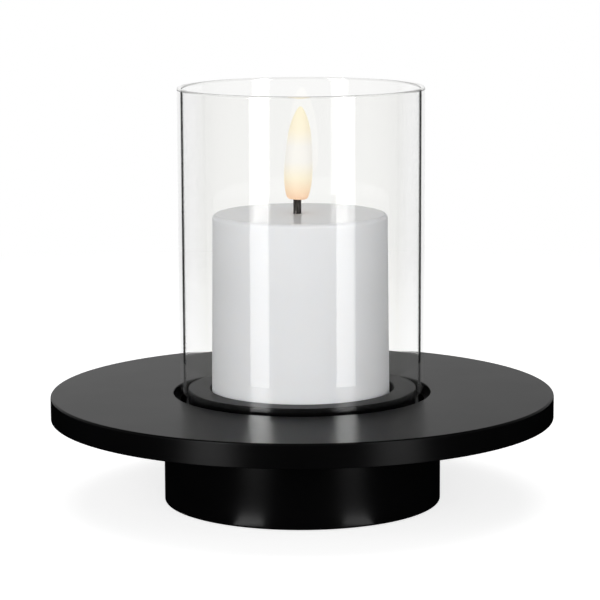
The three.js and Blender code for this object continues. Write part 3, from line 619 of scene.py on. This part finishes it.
@cache
def dark_felt():
    """Short-haired dark felt."""
    finish = Finish("dark_felt", {
        "Roughness": 1.0, "Sheen Weight": 0.4, "Sheen Roughness": 0.6, "Specular IOR Level": 0.1,
    })
    hairs = finish.grain(0.0005, detail=6.0)
    dark, pale = (0.012, 0.012, 0.013), (0.05, 0.05, 0.052)
    finish.drive("Base Color", finish.ramp(hairs, [(0.35, dark), (0.7, pale)]))
    finish.relief(hairs, 0.0003, 0.8)
    return finish.material


@cache
def moulded_plastic(name, colour, roughness):
    """Moulded plastic with a fine spark-eroded skin."""
    finish = Finish(name, {"Specular IOR Level": 0.45})
    cloud = finish.grain(0.006)
    finish.drive("Base Color", finish.ramp(cloud, [(0.35, shaded(colour, 0.94)), (0.65, colour)]))
    finish.drive("Roughness", finish.between(cloud, roughness - 0.05, roughness + 0.05))
    finish.relief(finish.grain(0.00025, detail=2.0), 0.00002, 0.5)
    return finish.material


def white_plastic():
    """The insert's white plastic."""
    return moulded_plastic("white_plastic", (0.8, 0.8, 0.78), 0.45)


def black_plastic():
    """The black plastic of the switch, its words and the chip."""
    return moulded_plastic("black_plastic", (0.02, 0.02, 0.022), 0.5)


@cache
def plated_metal(name, colour, roughness):
    """Plated metal, with drawn marks that blur its shine unevenly."""
    finish = Finish(name, {"Metallic": 1.0})
    marks = finish.grain(0.0006, detail=4.0, stretch=(1.0, 1.0, 0.25))
    finish.drive("Base Color", finish.ramp(marks, [(0.35, shaded(colour, 0.85)), (0.65, colour)]))
    finish.drive("Roughness", finish.between(marks, roughness - 0.06, roughness + 0.1))
    finish.relief(marks, 0.00001, 0.4)
    return finish.material


def zinc_steel():
    """The zinc-plated steel of the screws and the switch's can."""
    return plated_metal("zinc_steel", (0.6, 0.6, 0.61), 0.3)


@cache
def solder_mask():
    """Green circuit board with copper tracks just showing under the mask."""
    finish = Finish("green_solder_mask", {"Roughness": 0.35, "Coat Weight": 0.3, "Coat Roughness": 0.2})
    lines = finish.add("ShaderNodeTexBrick", {
        "Vector": finish.place, "Scale": 260.0, "Color1": (0.02, 0.12, 0.05, 1.0),
        "Color2": (0.025, 0.135, 0.055, 1.0), "Mortar": (0.05, 0.2, 0.08, 1.0), "Mortar Size": 0.06,
    })
    finish.drive("Base Color", lines.outputs["Color"])
    finish.relief(lines.outputs["Fac"], 0.00004, 0.4)
    return finish.material


@cache
def cell_sleeve():
    """Plain blue sleeve of a battery cell with a steel-coloured upper band."""
    finish = Finish("plain_cell_sleeve", {"Roughness": 0.32, "Metallic": 0.3})
    low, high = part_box("battery_1")
    stops = [(0.0, (0.06, 0.1, 0.18)), (0.8, (0.07, 0.12, 0.2)), (0.81, (0.45, 0.46, 0.48))]
    finish.drive("Base Color", finish.ramp(finish.height(low.z, high.z), stops))
    finish.relief(finish.grain(0.002), 0.00003, 0.3)
    return finish.material


@cache
def lamp_resin():
    """Warm resin of the small lamp."""
    finish = Finish("warm_lamp_resin", {
        "Roughness": 0.15, "Transmission Weight": 0.3, "IOR": 1.5, "Emission Strength": 0.5,
    })
    haze = finish.grain(0.001)
    finish.drive("Base Color", finish.ramp(haze, [(0.3, (0.9, 0.78, 0.45)), (0.7, (0.95, 0.86, 0.55))]))
    finish.drive("Emission Color", finish.ramp(haze, [(0.3, (1.0, 0.7, 0.3)), (0.7, (1.0, 0.78, 0.4))]))
    return finish.material


# Operators


class PieceOperator:
    """What every operator of the lantern shares."""

    bl_options = {"REGISTER", "UNDO"}


class LANTERN_OT_foot(PieceOperator, Operator):
    """Turn the foot block, with sockets for its pads and screws"""

    bl_idname = "lantern.foot"
    bl_label = "Foot"

    head_room = 0.001

    def execute(self, context):
        sizes = context.scene.lantern_base
        (low, high), radius = FOOT, FOOT[1].x
        foot = block_out("foot_block", radius, low.z, high.z)
        with shaping(foot):
            round_over(foot, radius, low.z, sizes.foot_edge, segments=5)
        under = low.z - OVERRUN
        for number in FASTENERS:
            _, pad_top, middle, pad_radius = upright(f"felt_pad_{number}")
            socket = pad_radius + sizes.fastener_play
            cut(foot, block_out("socket", socket, under, pad_top + SEAT_PLAY, PAD_ROUND, middle))
            head_low, _, middle, head_radius = upright(f"base_screw_{number}")
            seat = head_low + sizes.screw_head + SEAT_PLAY
            cut(foot, block_out("room", head_radius + self.head_room, under, seat, SMALL_ROUND, middle))
            cut_screw_hole(foot, number, sizes, low.z, high.z)
        complete(foot, black_lacquer(), "base", ["foot"])
        return {"FINISHED"}


class LANTERN_OT_plate(PieceOperator, Operator):
    """Turn the wide plate, with the round recess in its top"""

    bl_idname = "lantern.plate"
    bl_label = "Plate"

    def execute(self, context):
        sizes = context.scene.lantern_base
        (low, high), radius = PLATE, PLATE[1].x
        plate = block_out("plate_board", radius, low.z, high.z)
        with shaping(plate):
            pick(plate, "FACE", at_height(high.z))
            narrow(radius, sizes.recess_radius, (0.0, 0.0, high.z))
            rise(-sizes.recess_depth)
            round_over(plate, sizes.recess_radius, high.z, sizes.recess_lip, segments=4)
            round_over(plate, radius, high.z, sizes.plate_edge, segments=5)
            round_over(plate, radius, low.z, sizes.plate_lower_edge, segments=3)
        for number in FASTENERS:
            cut_screw_hole(plate, number, sizes, low.z, high.z - sizes.recess_depth)
        complete(plate, black_lacquer(), "base", ["plate"])
        return {"FINISHED"}


class LANTERN_OT_centring_ring(PieceOperator, Operator):
    """Turn the ring that centres the candle and the glass"""

    bl_idname = "lantern.centring_ring"
    bl_label = "Centring ring"

    def execute(self, context):
        sizes = context.scene.lantern_base
        (low, high), radius = RING, RING[1].x
        ring = block_out("seat_ring", radius, low.z, high.z, caps="NOTHING")
        inner = give_wall(ring, radius - sizes.ring_bore)
        with shaping(ring):
            for edge in (radius, inner):
                round_over(ring, edge, high.z, sizes.ring_edge, segments=4)
        complete(ring, black_lacquer(), "base", ["centring_ring"])
        return {"FINISHED"}


class LANTERN_OT_base_fasteners(PieceOperator, Operator):
    """Make the felt pads and the wood screws under the base"""

    bl_idname = "lantern.base_fasteners"
    bl_label = "Pads and screws"

    pad_edge = 0.0003
    head_edge = 0.0012
    point_share = 0.08
    cross_length, cross_width, cross_depth = 0.0046, 0.0009, 0.003

    def pad(self):
        """The first felt pad, with a soft lower edge."""
        low, high, middle, radius = upright("felt_pad_1")
        pad = block_out("first_pad", radius, low, high, PAD_ROUND, middle)
        with shaping(pad):
            round_over(pad, radius, low, self.pad_edge, segments=3, centre=middle)
        return pad

    def screw(self, sizes):
        """The first screw: a domed head with a cross in it, a shank and a point."""
        low, high, middle, radius = upright("base_screw_1")
        seat, shank = low + sizes.screw_head, sizes.screw_shank
        screw = block_out("first_screw", radius, low, seat, SMALL_ROUND, middle)
        with shaping(screw):
            pick(screw, "FACE", at_height(seat))
            narrow(radius, shank, (*middle, seat))
            rise(high - seat - shank)
            rise(shank)
            point = (self.point_share, self.point_share, 1.0)
            bpy.ops.transform.resize(value=point, center_override=(*middle, high))
            round_over(screw, radius, low, self.head_edge, segments=4, centre=middle)
        for long_side, short_side in (
            (self.cross_length, self.cross_width), (self.cross_width, self.cross_length),
        ):
            nothing_chosen()
            bpy.ops.mesh.primitive_cube_add(size=1.0, location=(*middle, low))
            bar = bpy.context.object
            bar.scale = (long_side, short_side, self.cross_depth)
            cut(screw, bar)
        return screw

    def set_out(self, piece, name, node, finish, slot):
        """Copy a finished piece to its four places, each copy with its own mesh."""
        for number in FASTENERS:
            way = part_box(f"{node}_{number}")[0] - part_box(f"{node}_1")[0]
            choose(piece)
            bpy.ops.object.duplicate(linked=False)
            copy = bpy.context.object
            bpy.ops.transform.translate(value=way)
            copy.name = copy.data.name = f"{name}_{number}"
            complete(copy, finish, "base", [f"{node}_{number}"])
        bpy.data.objects.remove(piece)

    def execute(self, context):
        self.set_out(self.pad(), "felt_disc", "felt_pad", dark_felt(), "felt")
        screw = self.screw(context.scene.lantern_base)
        self.set_out(screw, "wood_screw", "base_screw", zinc_steel(), "zinc_steel")
        return {"FINISHED"}


class LANTERN_OT_glass(PieceOperator, Operator):
    """Draw the glass sleeve, open at both ends"""

    bl_idname = "lantern.glass"
    bl_label = "Glass sleeve"

    def execute(self, context):
        sizes = context.scene.lantern_glass
        (low, high), radius = GLASS, GLASS[1].x
        glass = block_out("glass_sleeve", radius, low.z, high.z, GLASS_ROUND, caps="NOTHING")
        inner = give_wall(glass, sizes.wall)
        with shaping(glass):
            for edge in (radius, inner):
                round_over(glass, edge, high.z, sizes.rim, segments=5)
                round_over(glass, edge, low.z, sizes.foot, segments=2)
        complete(glass, clear_glass(), "glass", ["glass_cylinder"])
        glass.visible_shadow = False
        glass.visible_diffuse = False
        return {"FINISHED"}


class LANTERN_OT_wax(PieceOperator, Operator):
    """Cast the candle's wax shell round its hollow"""

    bl_idname = "lantern.wax"
    bl_label = "Wax shell"

    foot_edge = 0.0004

    def execute(self, context):
        sizes = context.scene.lantern_candle
        low, high = WAX
        radius, centre = (high.x - low.x) / 2, ((high.x + low.x) / 2, 0.0)
        wax = block_out("wax_pillar", radius, low.z, high.z, centre=centre, top_radius=sizes.top_radius)
        with shaping(wax):
            pick(wax, "FACE", at_height(low.z))
            narrow(radius, sizes.rebate_radius, (*centre, low.z))
            rise(sizes.rebate_depth)
            narrow(sizes.rebate_radius, sizes.bore, (*centre, low.z))
            rise(high.z - sizes.roof - low.z - sizes.rebate_depth)
            round_over(wax, sizes.top_radius, high.z, sizes.top_edge, segments=8, centre=centre)
            round_over(wax, radius, low.z, self.foot_edge, segments=3, centre=centre)
        stem = ((STEM[0].x + STEM[1].x) / 2, 0.0)
        hole_foot = high.z - 2 * sizes.roof
        cut(wax, block_out("hole", sizes.wick_hole, hole_foot, high.z + OVERRUN, SMALL_ROUND, stem))
        complete(wax, cool_wax(), "candle", ["wax_shell"])
        return {"FINISHED"}


class LANTERN_OT_wick(PieceOperator, Operator):
    """Make the ribbed wick sleeve that carries the flame"""

    bl_idname = "lantern.wick"
    bl_label = "Wick"

    ribs = 10
    facets_on_rib = 8
    wall = 0.0004

    def execute(self, context):
        sizes = context.scene.lantern_candle
        low, high = STEM
        radius, centre = (high.x - low.x) / 2, ((low.x + high.x) / 2, 0.0)
        middle = Vector(centre)
        facets = self.ribs * self.facets_on_rib
        wick = block_out("wick_sleeve", radius, low.z, high.z, facets, centre, caps="NOTHING")
        with shaping(wick):
            for step in range(1, self.facets_on_rib):
                depth = sizes.groove * (1 - cos(2 * pi * step / self.facets_on_rib)) / 2
                spokes = [
                    2 * pi * (rib * self.facets_on_rib + step) / facets for rib in range(self.ribs)
                ]
                marks = [middle + Vector((sin(angle), cos(angle))) * radius for angle in spokes]
                pick(wick, "VERT", near_any(marks))
                share = (radius - depth) / radius
                bpy.ops.transform.resize(value=(share, share, 1.0), center_override=(*centre, 0.0))
        run_modifier(wick, "SOLIDIFY", thickness=self.wall, offset=-1.0)
        complete(wick, wick_sleeve(), "candle", ["wick_stem"], smooth_degrees=60)
        return {"FINISHED"}


class LANTERN_OT_flame(PieceOperator, Operator):
    """Blow the hollow flame bulb"""

    bl_idname = "lantern.flame"
    bl_label = "Flame bulb"

    outline = (
        (0.345, 0.0), (0.6, 0.004), (0.72, 0.018), (0.81, 0.05), (0.87, 0.09), (0.925, 0.14),
        (0.97, 0.2), (0.99, 0.255), (1.0, 0.31), (0.995, 0.37), (0.975, 0.43), (0.943, 0.505),
        (0.9, 0.58), (0.845, 0.655), (0.775, 0.73), (0.695, 0.79), (0.6, 0.84), (0.49, 0.888),
        (0.37, 0.93), (0.265, 0.961), (0.16, 0.985), (0.075, 0.997), (0.0, 1.0),
    )
    steps = 72
    start_size = 0.001

    def execute(self, context):
        sizes = context.scene.lantern_candle
        points = [
            Vector((share * sizes.flame_radius, 0.0, height * sizes.flame_height))
            for share, height in self.outline
        ]
        nothing_chosen()
        bpy.ops.mesh.primitive_plane_add(size=self.start_size)
        bulb = bpy.context.object
        bulb.name = bulb.data.name = "flame_diffuser"
        with shaping(bulb):
            bpy.ops.mesh.select_all(action="SELECT")
            bpy.ops.mesh.merge(type="CENTER")
            bpy.ops.transform.translate(value=points[0])
            for last, following in zip(points, points[1:]):
                bpy.ops.mesh.extrude_region_move(TRANSFORM_OT_translate={"value": following - last})
            bpy.ops.mesh.select_all(action="SELECT")
            bpy.ops.mesh.spin(steps=self.steps, angle=2 * pi, center=(0.0, 0.0, 0.0), axis=(0.0, 0.0, 1.0))
            turn_outwards()
        run_modifier(bulb, "SOLIDIFY", thickness=sizes.flame_wall, offset=-1.0)
        stem_x = (STEM[0].x + STEM[1].x) / 2
        foot_lift = sizes.flame_radius * self.outline[0][0] * sin(sizes.flame_lean)
        bulb.location = (stem_x, 0.0, BULB[0].z + foot_lift)
        bulb.rotation_euler = (0.0, sizes.flame_lean, 0.0)
        complete(bulb, frosted_flame(), "candle", ["flame_bulb"], smooth_degrees=60)
        return {"FINISHED"}


class LANTERN_OT_battery_insert(PieceOperator, Operator):
    """Finish the moulded insert, its cover and its switch, seen from below the candle"""

    bl_idname = "lantern.battery_insert"
    bl_label = "Battery insert"

    mould_edge = 0.00025
    lever_edge = 0.00015

    def execute(self, context):
        white, edge = white_plastic(), self.mould_edge
        softened_copy("battery_tray", "insert_moulding", white, "candle", edge)
        softened_copy("battery_cover", "coin_cover", white, "cover", edge)
        softened_copy(
            "switch_knob", "switch_lever", black_plastic(), "knob", self.lever_edge,
        )
        return {"FINISHED"}


class LANTERN_OT_switch_words(PieceOperator, Operator):
    """Print OFF, ON and TIMER round the switch, seen from below the candle"""

    bl_idname = "lantern.switch_words"
    bl_label = "Switch words"

    words = (("OFF", -0.0079, 0.0), ("ON", 0.0, -0.0038), ("TIMER", 0.0094, 0.0))
    letter_size = 0.0021
    relief = 0.0001
    curve_steps = 4

    def execute(self, context):
        knob_low, knob_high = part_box("switch_knob")
        middle, underside = (knob_low + knob_high) / 2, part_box("battery_tray")[0].z
        printed = []
        for word, aside, outward in self.words:
            nothing_chosen()
            place = (middle.x + aside, middle.y + outward, underside)
            bpy.ops.object.text_add(location=place, rotation=(pi, 0.0, 0.0))
            letters = bpy.context.object.data
            letters.body = word
            letters.size = self.letter_size
            letters.extrude = self.relief
            letters.resolution_u = self.curve_steps
            letters.align_x = letters.align_y = "CENTER"
            bpy.ops.object.convert(target="MESH")
            printed.append(bpy.context.object)
        choose(printed[0])
        for word_piece in printed[1:]:
            word_piece.select_set(True)
        bpy.ops.object.join()
        words = bpy.context.object
        words.name = words.data.name = "switch_words"
        with shaping(words):
            turn_outwards()
        complete(words, black_plastic(), "candle", [])
        return {"FINISHED"}


class LANTERN_OT_inner_finishes(PieceOperator, Operator):
    """Give the CAD nodes inside the candle their finishes"""

    bl_idname = "lantern.inner_finishes"
    bl_label = "Inner finishes"

    def execute(self, context):
        contact = plated_metal("nickel_contact", (0.7, 0.69, 0.66), 0.25)
        red_wire = moulded_plastic("red_wire", (0.4, 0.02, 0.02), 0.4)
        black_wire = moulded_plastic("black_wire", (0.015, 0.015, 0.015), 0.4)
        finishes = {
            "tray_cap": white_plastic(), "timer_chip": black_plastic(), "circuit_board": solder_mask(),
            "cap_screw_1": zinc_steel(), "cap_screw_2": zinc_steel(), "slide_switch": zinc_steel(),
            "battery_1": cell_sleeve(), "battery_2": cell_sleeve(), "led_lamp": lamp_resin(),
            "leaf_contact": contact, "spring_contact": contact, "bridge_contact": contact,
            "contact_leg_1": contact, "contact_leg_2": contact,
            "switch_lead_1": red_wire, "switch_lead_2": black_wire,
            "led_lead_1": red_wire, "led_lead_2": black_wire,
        }
        for node, finish in finishes.items():
            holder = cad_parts[node]
            if not holder.material_slots:
                raise RuntimeError(f"{node} has no material slot")
            for material_slot in holder.material_slots:
                material_slot.material = finish
        return {"FINISHED"}


class LANTERN_OT_stage(PieceOperator, Operator):
    """Lay the pale floor, and set the lights and the camera"""

    bl_idname = "lantern.stage"
    bl_label = "Stage"

    floor_size = 30.0
    turns_white = (0.2, 0.75)
    near_white = 0.72
    away = 1.3
    strip_width = 2 * away * tan(radians(9.0))
    strip_foot, strip_middle, strip_head = -0.9, 0.2, 1.2
    glass_strip_nearer = 0.999
    sides = (
        ("left", -39.0, {"low": 1.03, "high": 1.22, "plate": 1.25, "patch": 1.25}),
        ("right", 41.0, {"low": 1.14, "high": 0.86, "plate": 0.75, "patch": 0.9}),
    )
    patches = (("near", 0.0715, 0.65, (0.015, 0.019), 1.2), ("far", 0.37, 0.89, (0.085, 0.28), 0.65))
    near_patch_fade = (0.017, 0.025)
    patch_height = 0.0005
    soft_aim = (0.0, 0.0, 0.1)
    side_rise, side_size = 0.5, (0.6, 0.8)
    front_height, front_size = 0.12, (0.6, 0.6)
    top_place, top_size = (0.0, 0.1, 1.6), (1.4, 1.4)
    horizon_stops = (
        (0.0, 0.0), (0.495, 0.0), (0.5, 1.0), (0.575, 1.0), (0.61, 0.8), (0.72, 0.78), (0.85, 0.25),
        (1.0, 0.15),
    )
    horizon_shares = (1.15, 0.85)
    horizon_turn = 0.15

    def floor(self):
        """A wide pale floor that keeps the lantern's shadow and can be seen through from below."""
        nothing_chosen()
        bpy.ops.mesh.primitive_plane_add(size=self.floor_size)
        floor = bpy.context.object
        floor.name = "floor"
        finish = Finish("pale_floor", {
            "Base Color": (0.8, 0.8, 0.8, 1.0), "Roughness": 1.0, "Specular IOR Level": 0.0,
            "Emission Color": WHITE,
        })
        path = finish.add("ShaderNodeLightPath").outputs
        seen = finish.reckon("ADD", path["Is Camera Ray"], path["Is Transmission Ray"], use_clamp=True)
        reach = finish.add("ShaderNodeVectorMath", {0: finish.place}, operation="LENGTH").outputs["Value"]
        far = finish.between(reach, 0.0, 1.0, *self.turns_white)
        lift = finish.between(far, self.near_white, 1.0, 0.0, 1.0)
        finish.drive("Emission Strength", finish.reckon("MULTIPLY", seen, lift))
        unlit = finish.reckon("MULTIPLY", seen, far)
        finish.drive("Base Color", finish.grey_ramp(unlit, [(0.0, 0.8), (1.0, 0.0)]))
        below = finish.add("ShaderNodeNewGeometry").outputs["Backfacing"]
        from_below = finish.reckon("MULTIPLY", below, path["Is Camera Ray"])
        see_through = finish.reckon("ADD", from_below, path["Glossy Depth"], use_clamp=True)
        clear = finish.add("ShaderNodeBsdfTransparent").outputs[0]
        surface = {0: see_through, 1: finish.shader.outputs[0], 2: clear}
        mix = finish.add("ShaderNodeMixShader", surface).outputs[0]
        finish.tree.links.new(mix, finish.tree.nodes["Material Output"].inputs["Surface"])
        floor.data.materials.append(finish.material)

    def world(self, ambient, horizon_level):
        """White for the camera and through glass, a soft horizon in reflections, and even light otherwise."""
        world = bpy.data.worlds.new("studio")
        world.use_nodes = True
        bpy.context.scene.world = world
        world.node_tree.nodes.clear()
        nodes = Nodes(world.node_tree)
        white = nodes.add("ShaderNodeBackground", {"Color": WHITE, "Strength": 1.0}).outputs[0]
        even = nodes.add("ShaderNodeBackground", {"Color": WHITE, "Strength": ambient}).outputs[0]
        direction = nodes.add("ShaderNodeTexCoord").outputs["Generated"]
        axes = nodes.add("ShaderNodeSeparateXYZ", {"Vector": direction}).outputs
        tone = nodes.grey_ramp(nodes.between(axes["Z"], 0.0, 1.0, -1.0, 1.0), self.horizon_stops)
        left, right = (share * horizon_level for share in self.horizon_shares)
        sideways = nodes.between(axes["X"], left, right, -self.horizon_turn, self.horizon_turn)
        horizon = nodes.add("ShaderNodeBackground", {"Color": tone, "Strength": sideways}).outputs[0]
        path = nodes.add("ShaderNodeLightPath").outputs
        lit = nodes.add("ShaderNodeMixShader", {0: path["Is Diffuse Ray"], 1: horizon, 2: even}).outputs[0]
        direct = nodes.reckon("LESS_THAN", path["Glossy Depth"], 0.5)
        through = nodes.reckon("MULTIPLY", path["Is Transmission Ray"], direct)
        seen = nodes.reckon("ADD", path["Is Camera Ray"], through, use_clamp=True)
        final = nodes.add("ShaderNodeMixShader", {0: seen, 1: lit, 2: white}).outputs[0]
        nodes.add("ShaderNodeOutputWorld", {"Surface": final})

    def lamp(self, name, place, aim, size, brightness, mirrored):
        """An area light of even brightness, either for reflections and glass or for matt surfaces alone."""
        nothing_chosen()
        bpy.ops.object.light_add(type="AREA", location=place)
        lamp = bpy.context.object
        lamp.name = name
        lamp.data.shape = "RECTANGLE"
        lamp.data.size, lamp.data.size_y = size
        lamp.data.energy = brightness * pi * size[0] * size[1]
        lamp.rotation_euler = (Vector(aim) - Vector(place)).to_track_quat("-Z", "Y").to_euler()
        lamp.visible_camera = False
        lamp.visible_diffuse = not mirrored
        lamp.visible_transmission = mirrored
        lamp.visible_glossy = mirrored
        return lamp

    def short_reach(self, lamp, full, none):
        """Let a lamp fade out between two distances, so that it never shows along the foot's outline."""
        lamp.data.use_nodes = True
        nodes = Nodes(lamp.data.node_tree)
        distance = nodes.add("ShaderNodeLightPath").outputs["Ray Length"]
        fade = nodes.between(distance, 1.0, 0.0, full, none)
        nodes.tree.links.new(fade, nodes.tree.nodes["Emission"].inputs["Strength"])

    def strips(self, settings, side, spot, shares, base, sleeve):
        """One side's tall strip, in parts with a brightness for each of the pieces that mirror it."""
        foot, middle, head = self.strip_foot, self.strip_middle, self.strip_head
        nearer = self.glass_strip_nearer
        for part, low, high, level, receivers, share in (
            ("low", foot, middle, settings.low_strips * shares["low"], None, 1.0),
            ("glass", foot, middle, settings.glass_strips * shares["low"], sleeve, nearer),
            ("high", middle, head, settings.high_strips * shares["high"], sleeve, 1.0),
            ("plate", middle, head, settings.plate_strips * shares["plate"], base, 1.0),
        ):
            aim = Vector((0.0, 0.0, (low + high) / 2))
            size = (self.strip_width, high - low)
            strip = self.lamp(f"{side}_strip_{part}", spot * share + aim, aim, size, level, True)
            strip.light_linking.receiver_collection = receivers

    def floor_patches(self, settings, side, degrees, share, base):
        """One side's images of the strip in the floor, which the base alone mirrors."""
        for part, reach, turned, size, level in self.patches:
            turn = radians(degrees) * turned
            place = Vector((reach * sin(turn), -reach * cos(turn), self.patch_height))
            level *= settings.floor_patches * share
            patch = self.lamp(f"{side}_patch_{part}", place, place, size, level, True)
            patch.rotation_euler = (pi, 0.0, radians(degrees))
            patch.light_linking.receiver_collection = base
            if part == "near":
                self.short_reach(patch, *self.near_patch_fade)

    def camera(self, settings):
        """The photograph's camera."""
        nothing_chosen()
        bpy.ops.object.camera_add(location=settings.camera_place)
        camera = bpy.context.object
        turn = (
            Matrix.Rotation(settings.camera_yaw, 3, "Z")
            @ Matrix.Rotation(pi / 2 - settings.camera_pitch, 3, "X")
            @ Matrix.Rotation(-settings.camera_roll, 3, "Z")
        )
        camera.rotation_euler = turn.to_euler()
        camera.data.lens = settings.lens
        camera.data.sensor_width = 36.0
        bpy.context.scene.camera = camera

    def execute(self, context):
        settings = context.scene.lantern_stage
        self.floor()
        self.world(settings.ambient, settings.horizon)
        base, sleeve = bpy.data.collections.new("black_pieces"), bpy.data.collections.new("glass_pieces")
        for collection, name in ((base, "foot_block"), (base, "plate_board"), (sleeve, "glass_sleeve")):
            collection.objects.link(bpy.data.objects[name])
        for side, degrees, shares in self.sides:
            spot = Vector((self.away * sin(radians(degrees)), -self.away * cos(radians(degrees)), 0.0))
            self.strips(settings, side, spot, shares, base, sleeve)
            self.floor_patches(settings, side, degrees, shares["patch"], base)
            place, level = spot + Vector((0.0, 0.0, self.side_rise)), getattr(settings, side)
            self.lamp(f"{side}_light", place, self.soft_aim, self.side_size, level, False)
        front = (0.0, -self.away, self.front_height)
        self.lamp("front_light", front, self.soft_aim, self.front_size, settings.front, False)
        self.lamp("top_light", self.top_place, (0.0, 0.0, 0.0), self.top_size, settings.top, False)
        self.camera(settings)
        context.scene.view_settings.view_transform = "Standard"
        return {"FINISHED"}


class LANTERN_PT_pieces(Panel):
    """Lists the lantern's sizes, colours and pieces"""

    bl_idname = "LANTERN_PT_pieces"
    bl_label = "LED Lantern"
    bl_space_type = "VIEW_3D"
    bl_region_type = "UI"
    bl_category = "Lantern"

    def draw(self, context):
        scene = context.scene
        for title, group in (
            ("Base", scene.lantern_base), ("Glass", scene.lantern_glass), ("Candle", scene.lantern_candle),
            ("Colours", scene.lantern_colours), ("Stage", scene.lantern_stage),
        ):
            box = self.layout.box()
            box.label(text=title)
            for setting in group.bl_rna.properties:
                if setting.identifier not in {"rna_type", "name"}:
                    box.prop(group, setting.identifier)
        column = self.layout.column(align=True)
        for piece in PIECES:
            column.operator(piece.bl_idname)


GROUPS = {
    "lantern_base": LanternBaseSizes,
    "lantern_glass": LanternGlassSizes,
    "lantern_candle": LanternCandleSizes,
    "lantern_colours": LanternColours,
    "lantern_stage": LanternStageSettings,
}
PIECES = (
    LANTERN_OT_foot, LANTERN_OT_plate, LANTERN_OT_centring_ring, LANTERN_OT_base_fasteners,
    LANTERN_OT_glass, LANTERN_OT_wax, LANTERN_OT_wick, LANTERN_OT_flame, LANTERN_OT_battery_insert,
    LANTERN_OT_switch_words, LANTERN_OT_inner_finishes, LANTERN_OT_stage,
)


def register():
    for group in GROUPS.values():
        bpy.utils.register_class(group)
    for piece in PIECES:
        bpy.utils.register_class(piece)
    bpy.utils.register_class(LANTERN_PT_pieces)
    for name, group in GROUPS.items():
        setattr(bpy.types.Scene, name, PointerProperty(type=group))


def unregister():
    for name in GROUPS:
        delattr(bpy.types.Scene, name)
    bpy.utils.unregister_class(LANTERN_PT_pieces)
    for piece in reversed(PIECES):
        bpy.utils.unregister_class(piece)
    for group in reversed(list(GROUPS.values())):
        bpy.utils.unregister_class(group)


def main():
    register()
    bpy.ops.lantern.foot()
    bpy.ops.lantern.plate()
    bpy.ops.lantern.centring_ring()
    bpy.ops.lantern.base_fasteners()
    bpy.ops.lantern.glass()
    bpy.ops.lantern.wax()
    bpy.ops.lantern.wick()
    bpy.ops.lantern.flame()
    bpy.ops.lantern.battery_insert()
    bpy.ops.lantern.switch_words()
    bpy.ops.lantern.inner_finishes()
    bpy.ops.lantern.stage()


if __name__ == "__main__":
    main()
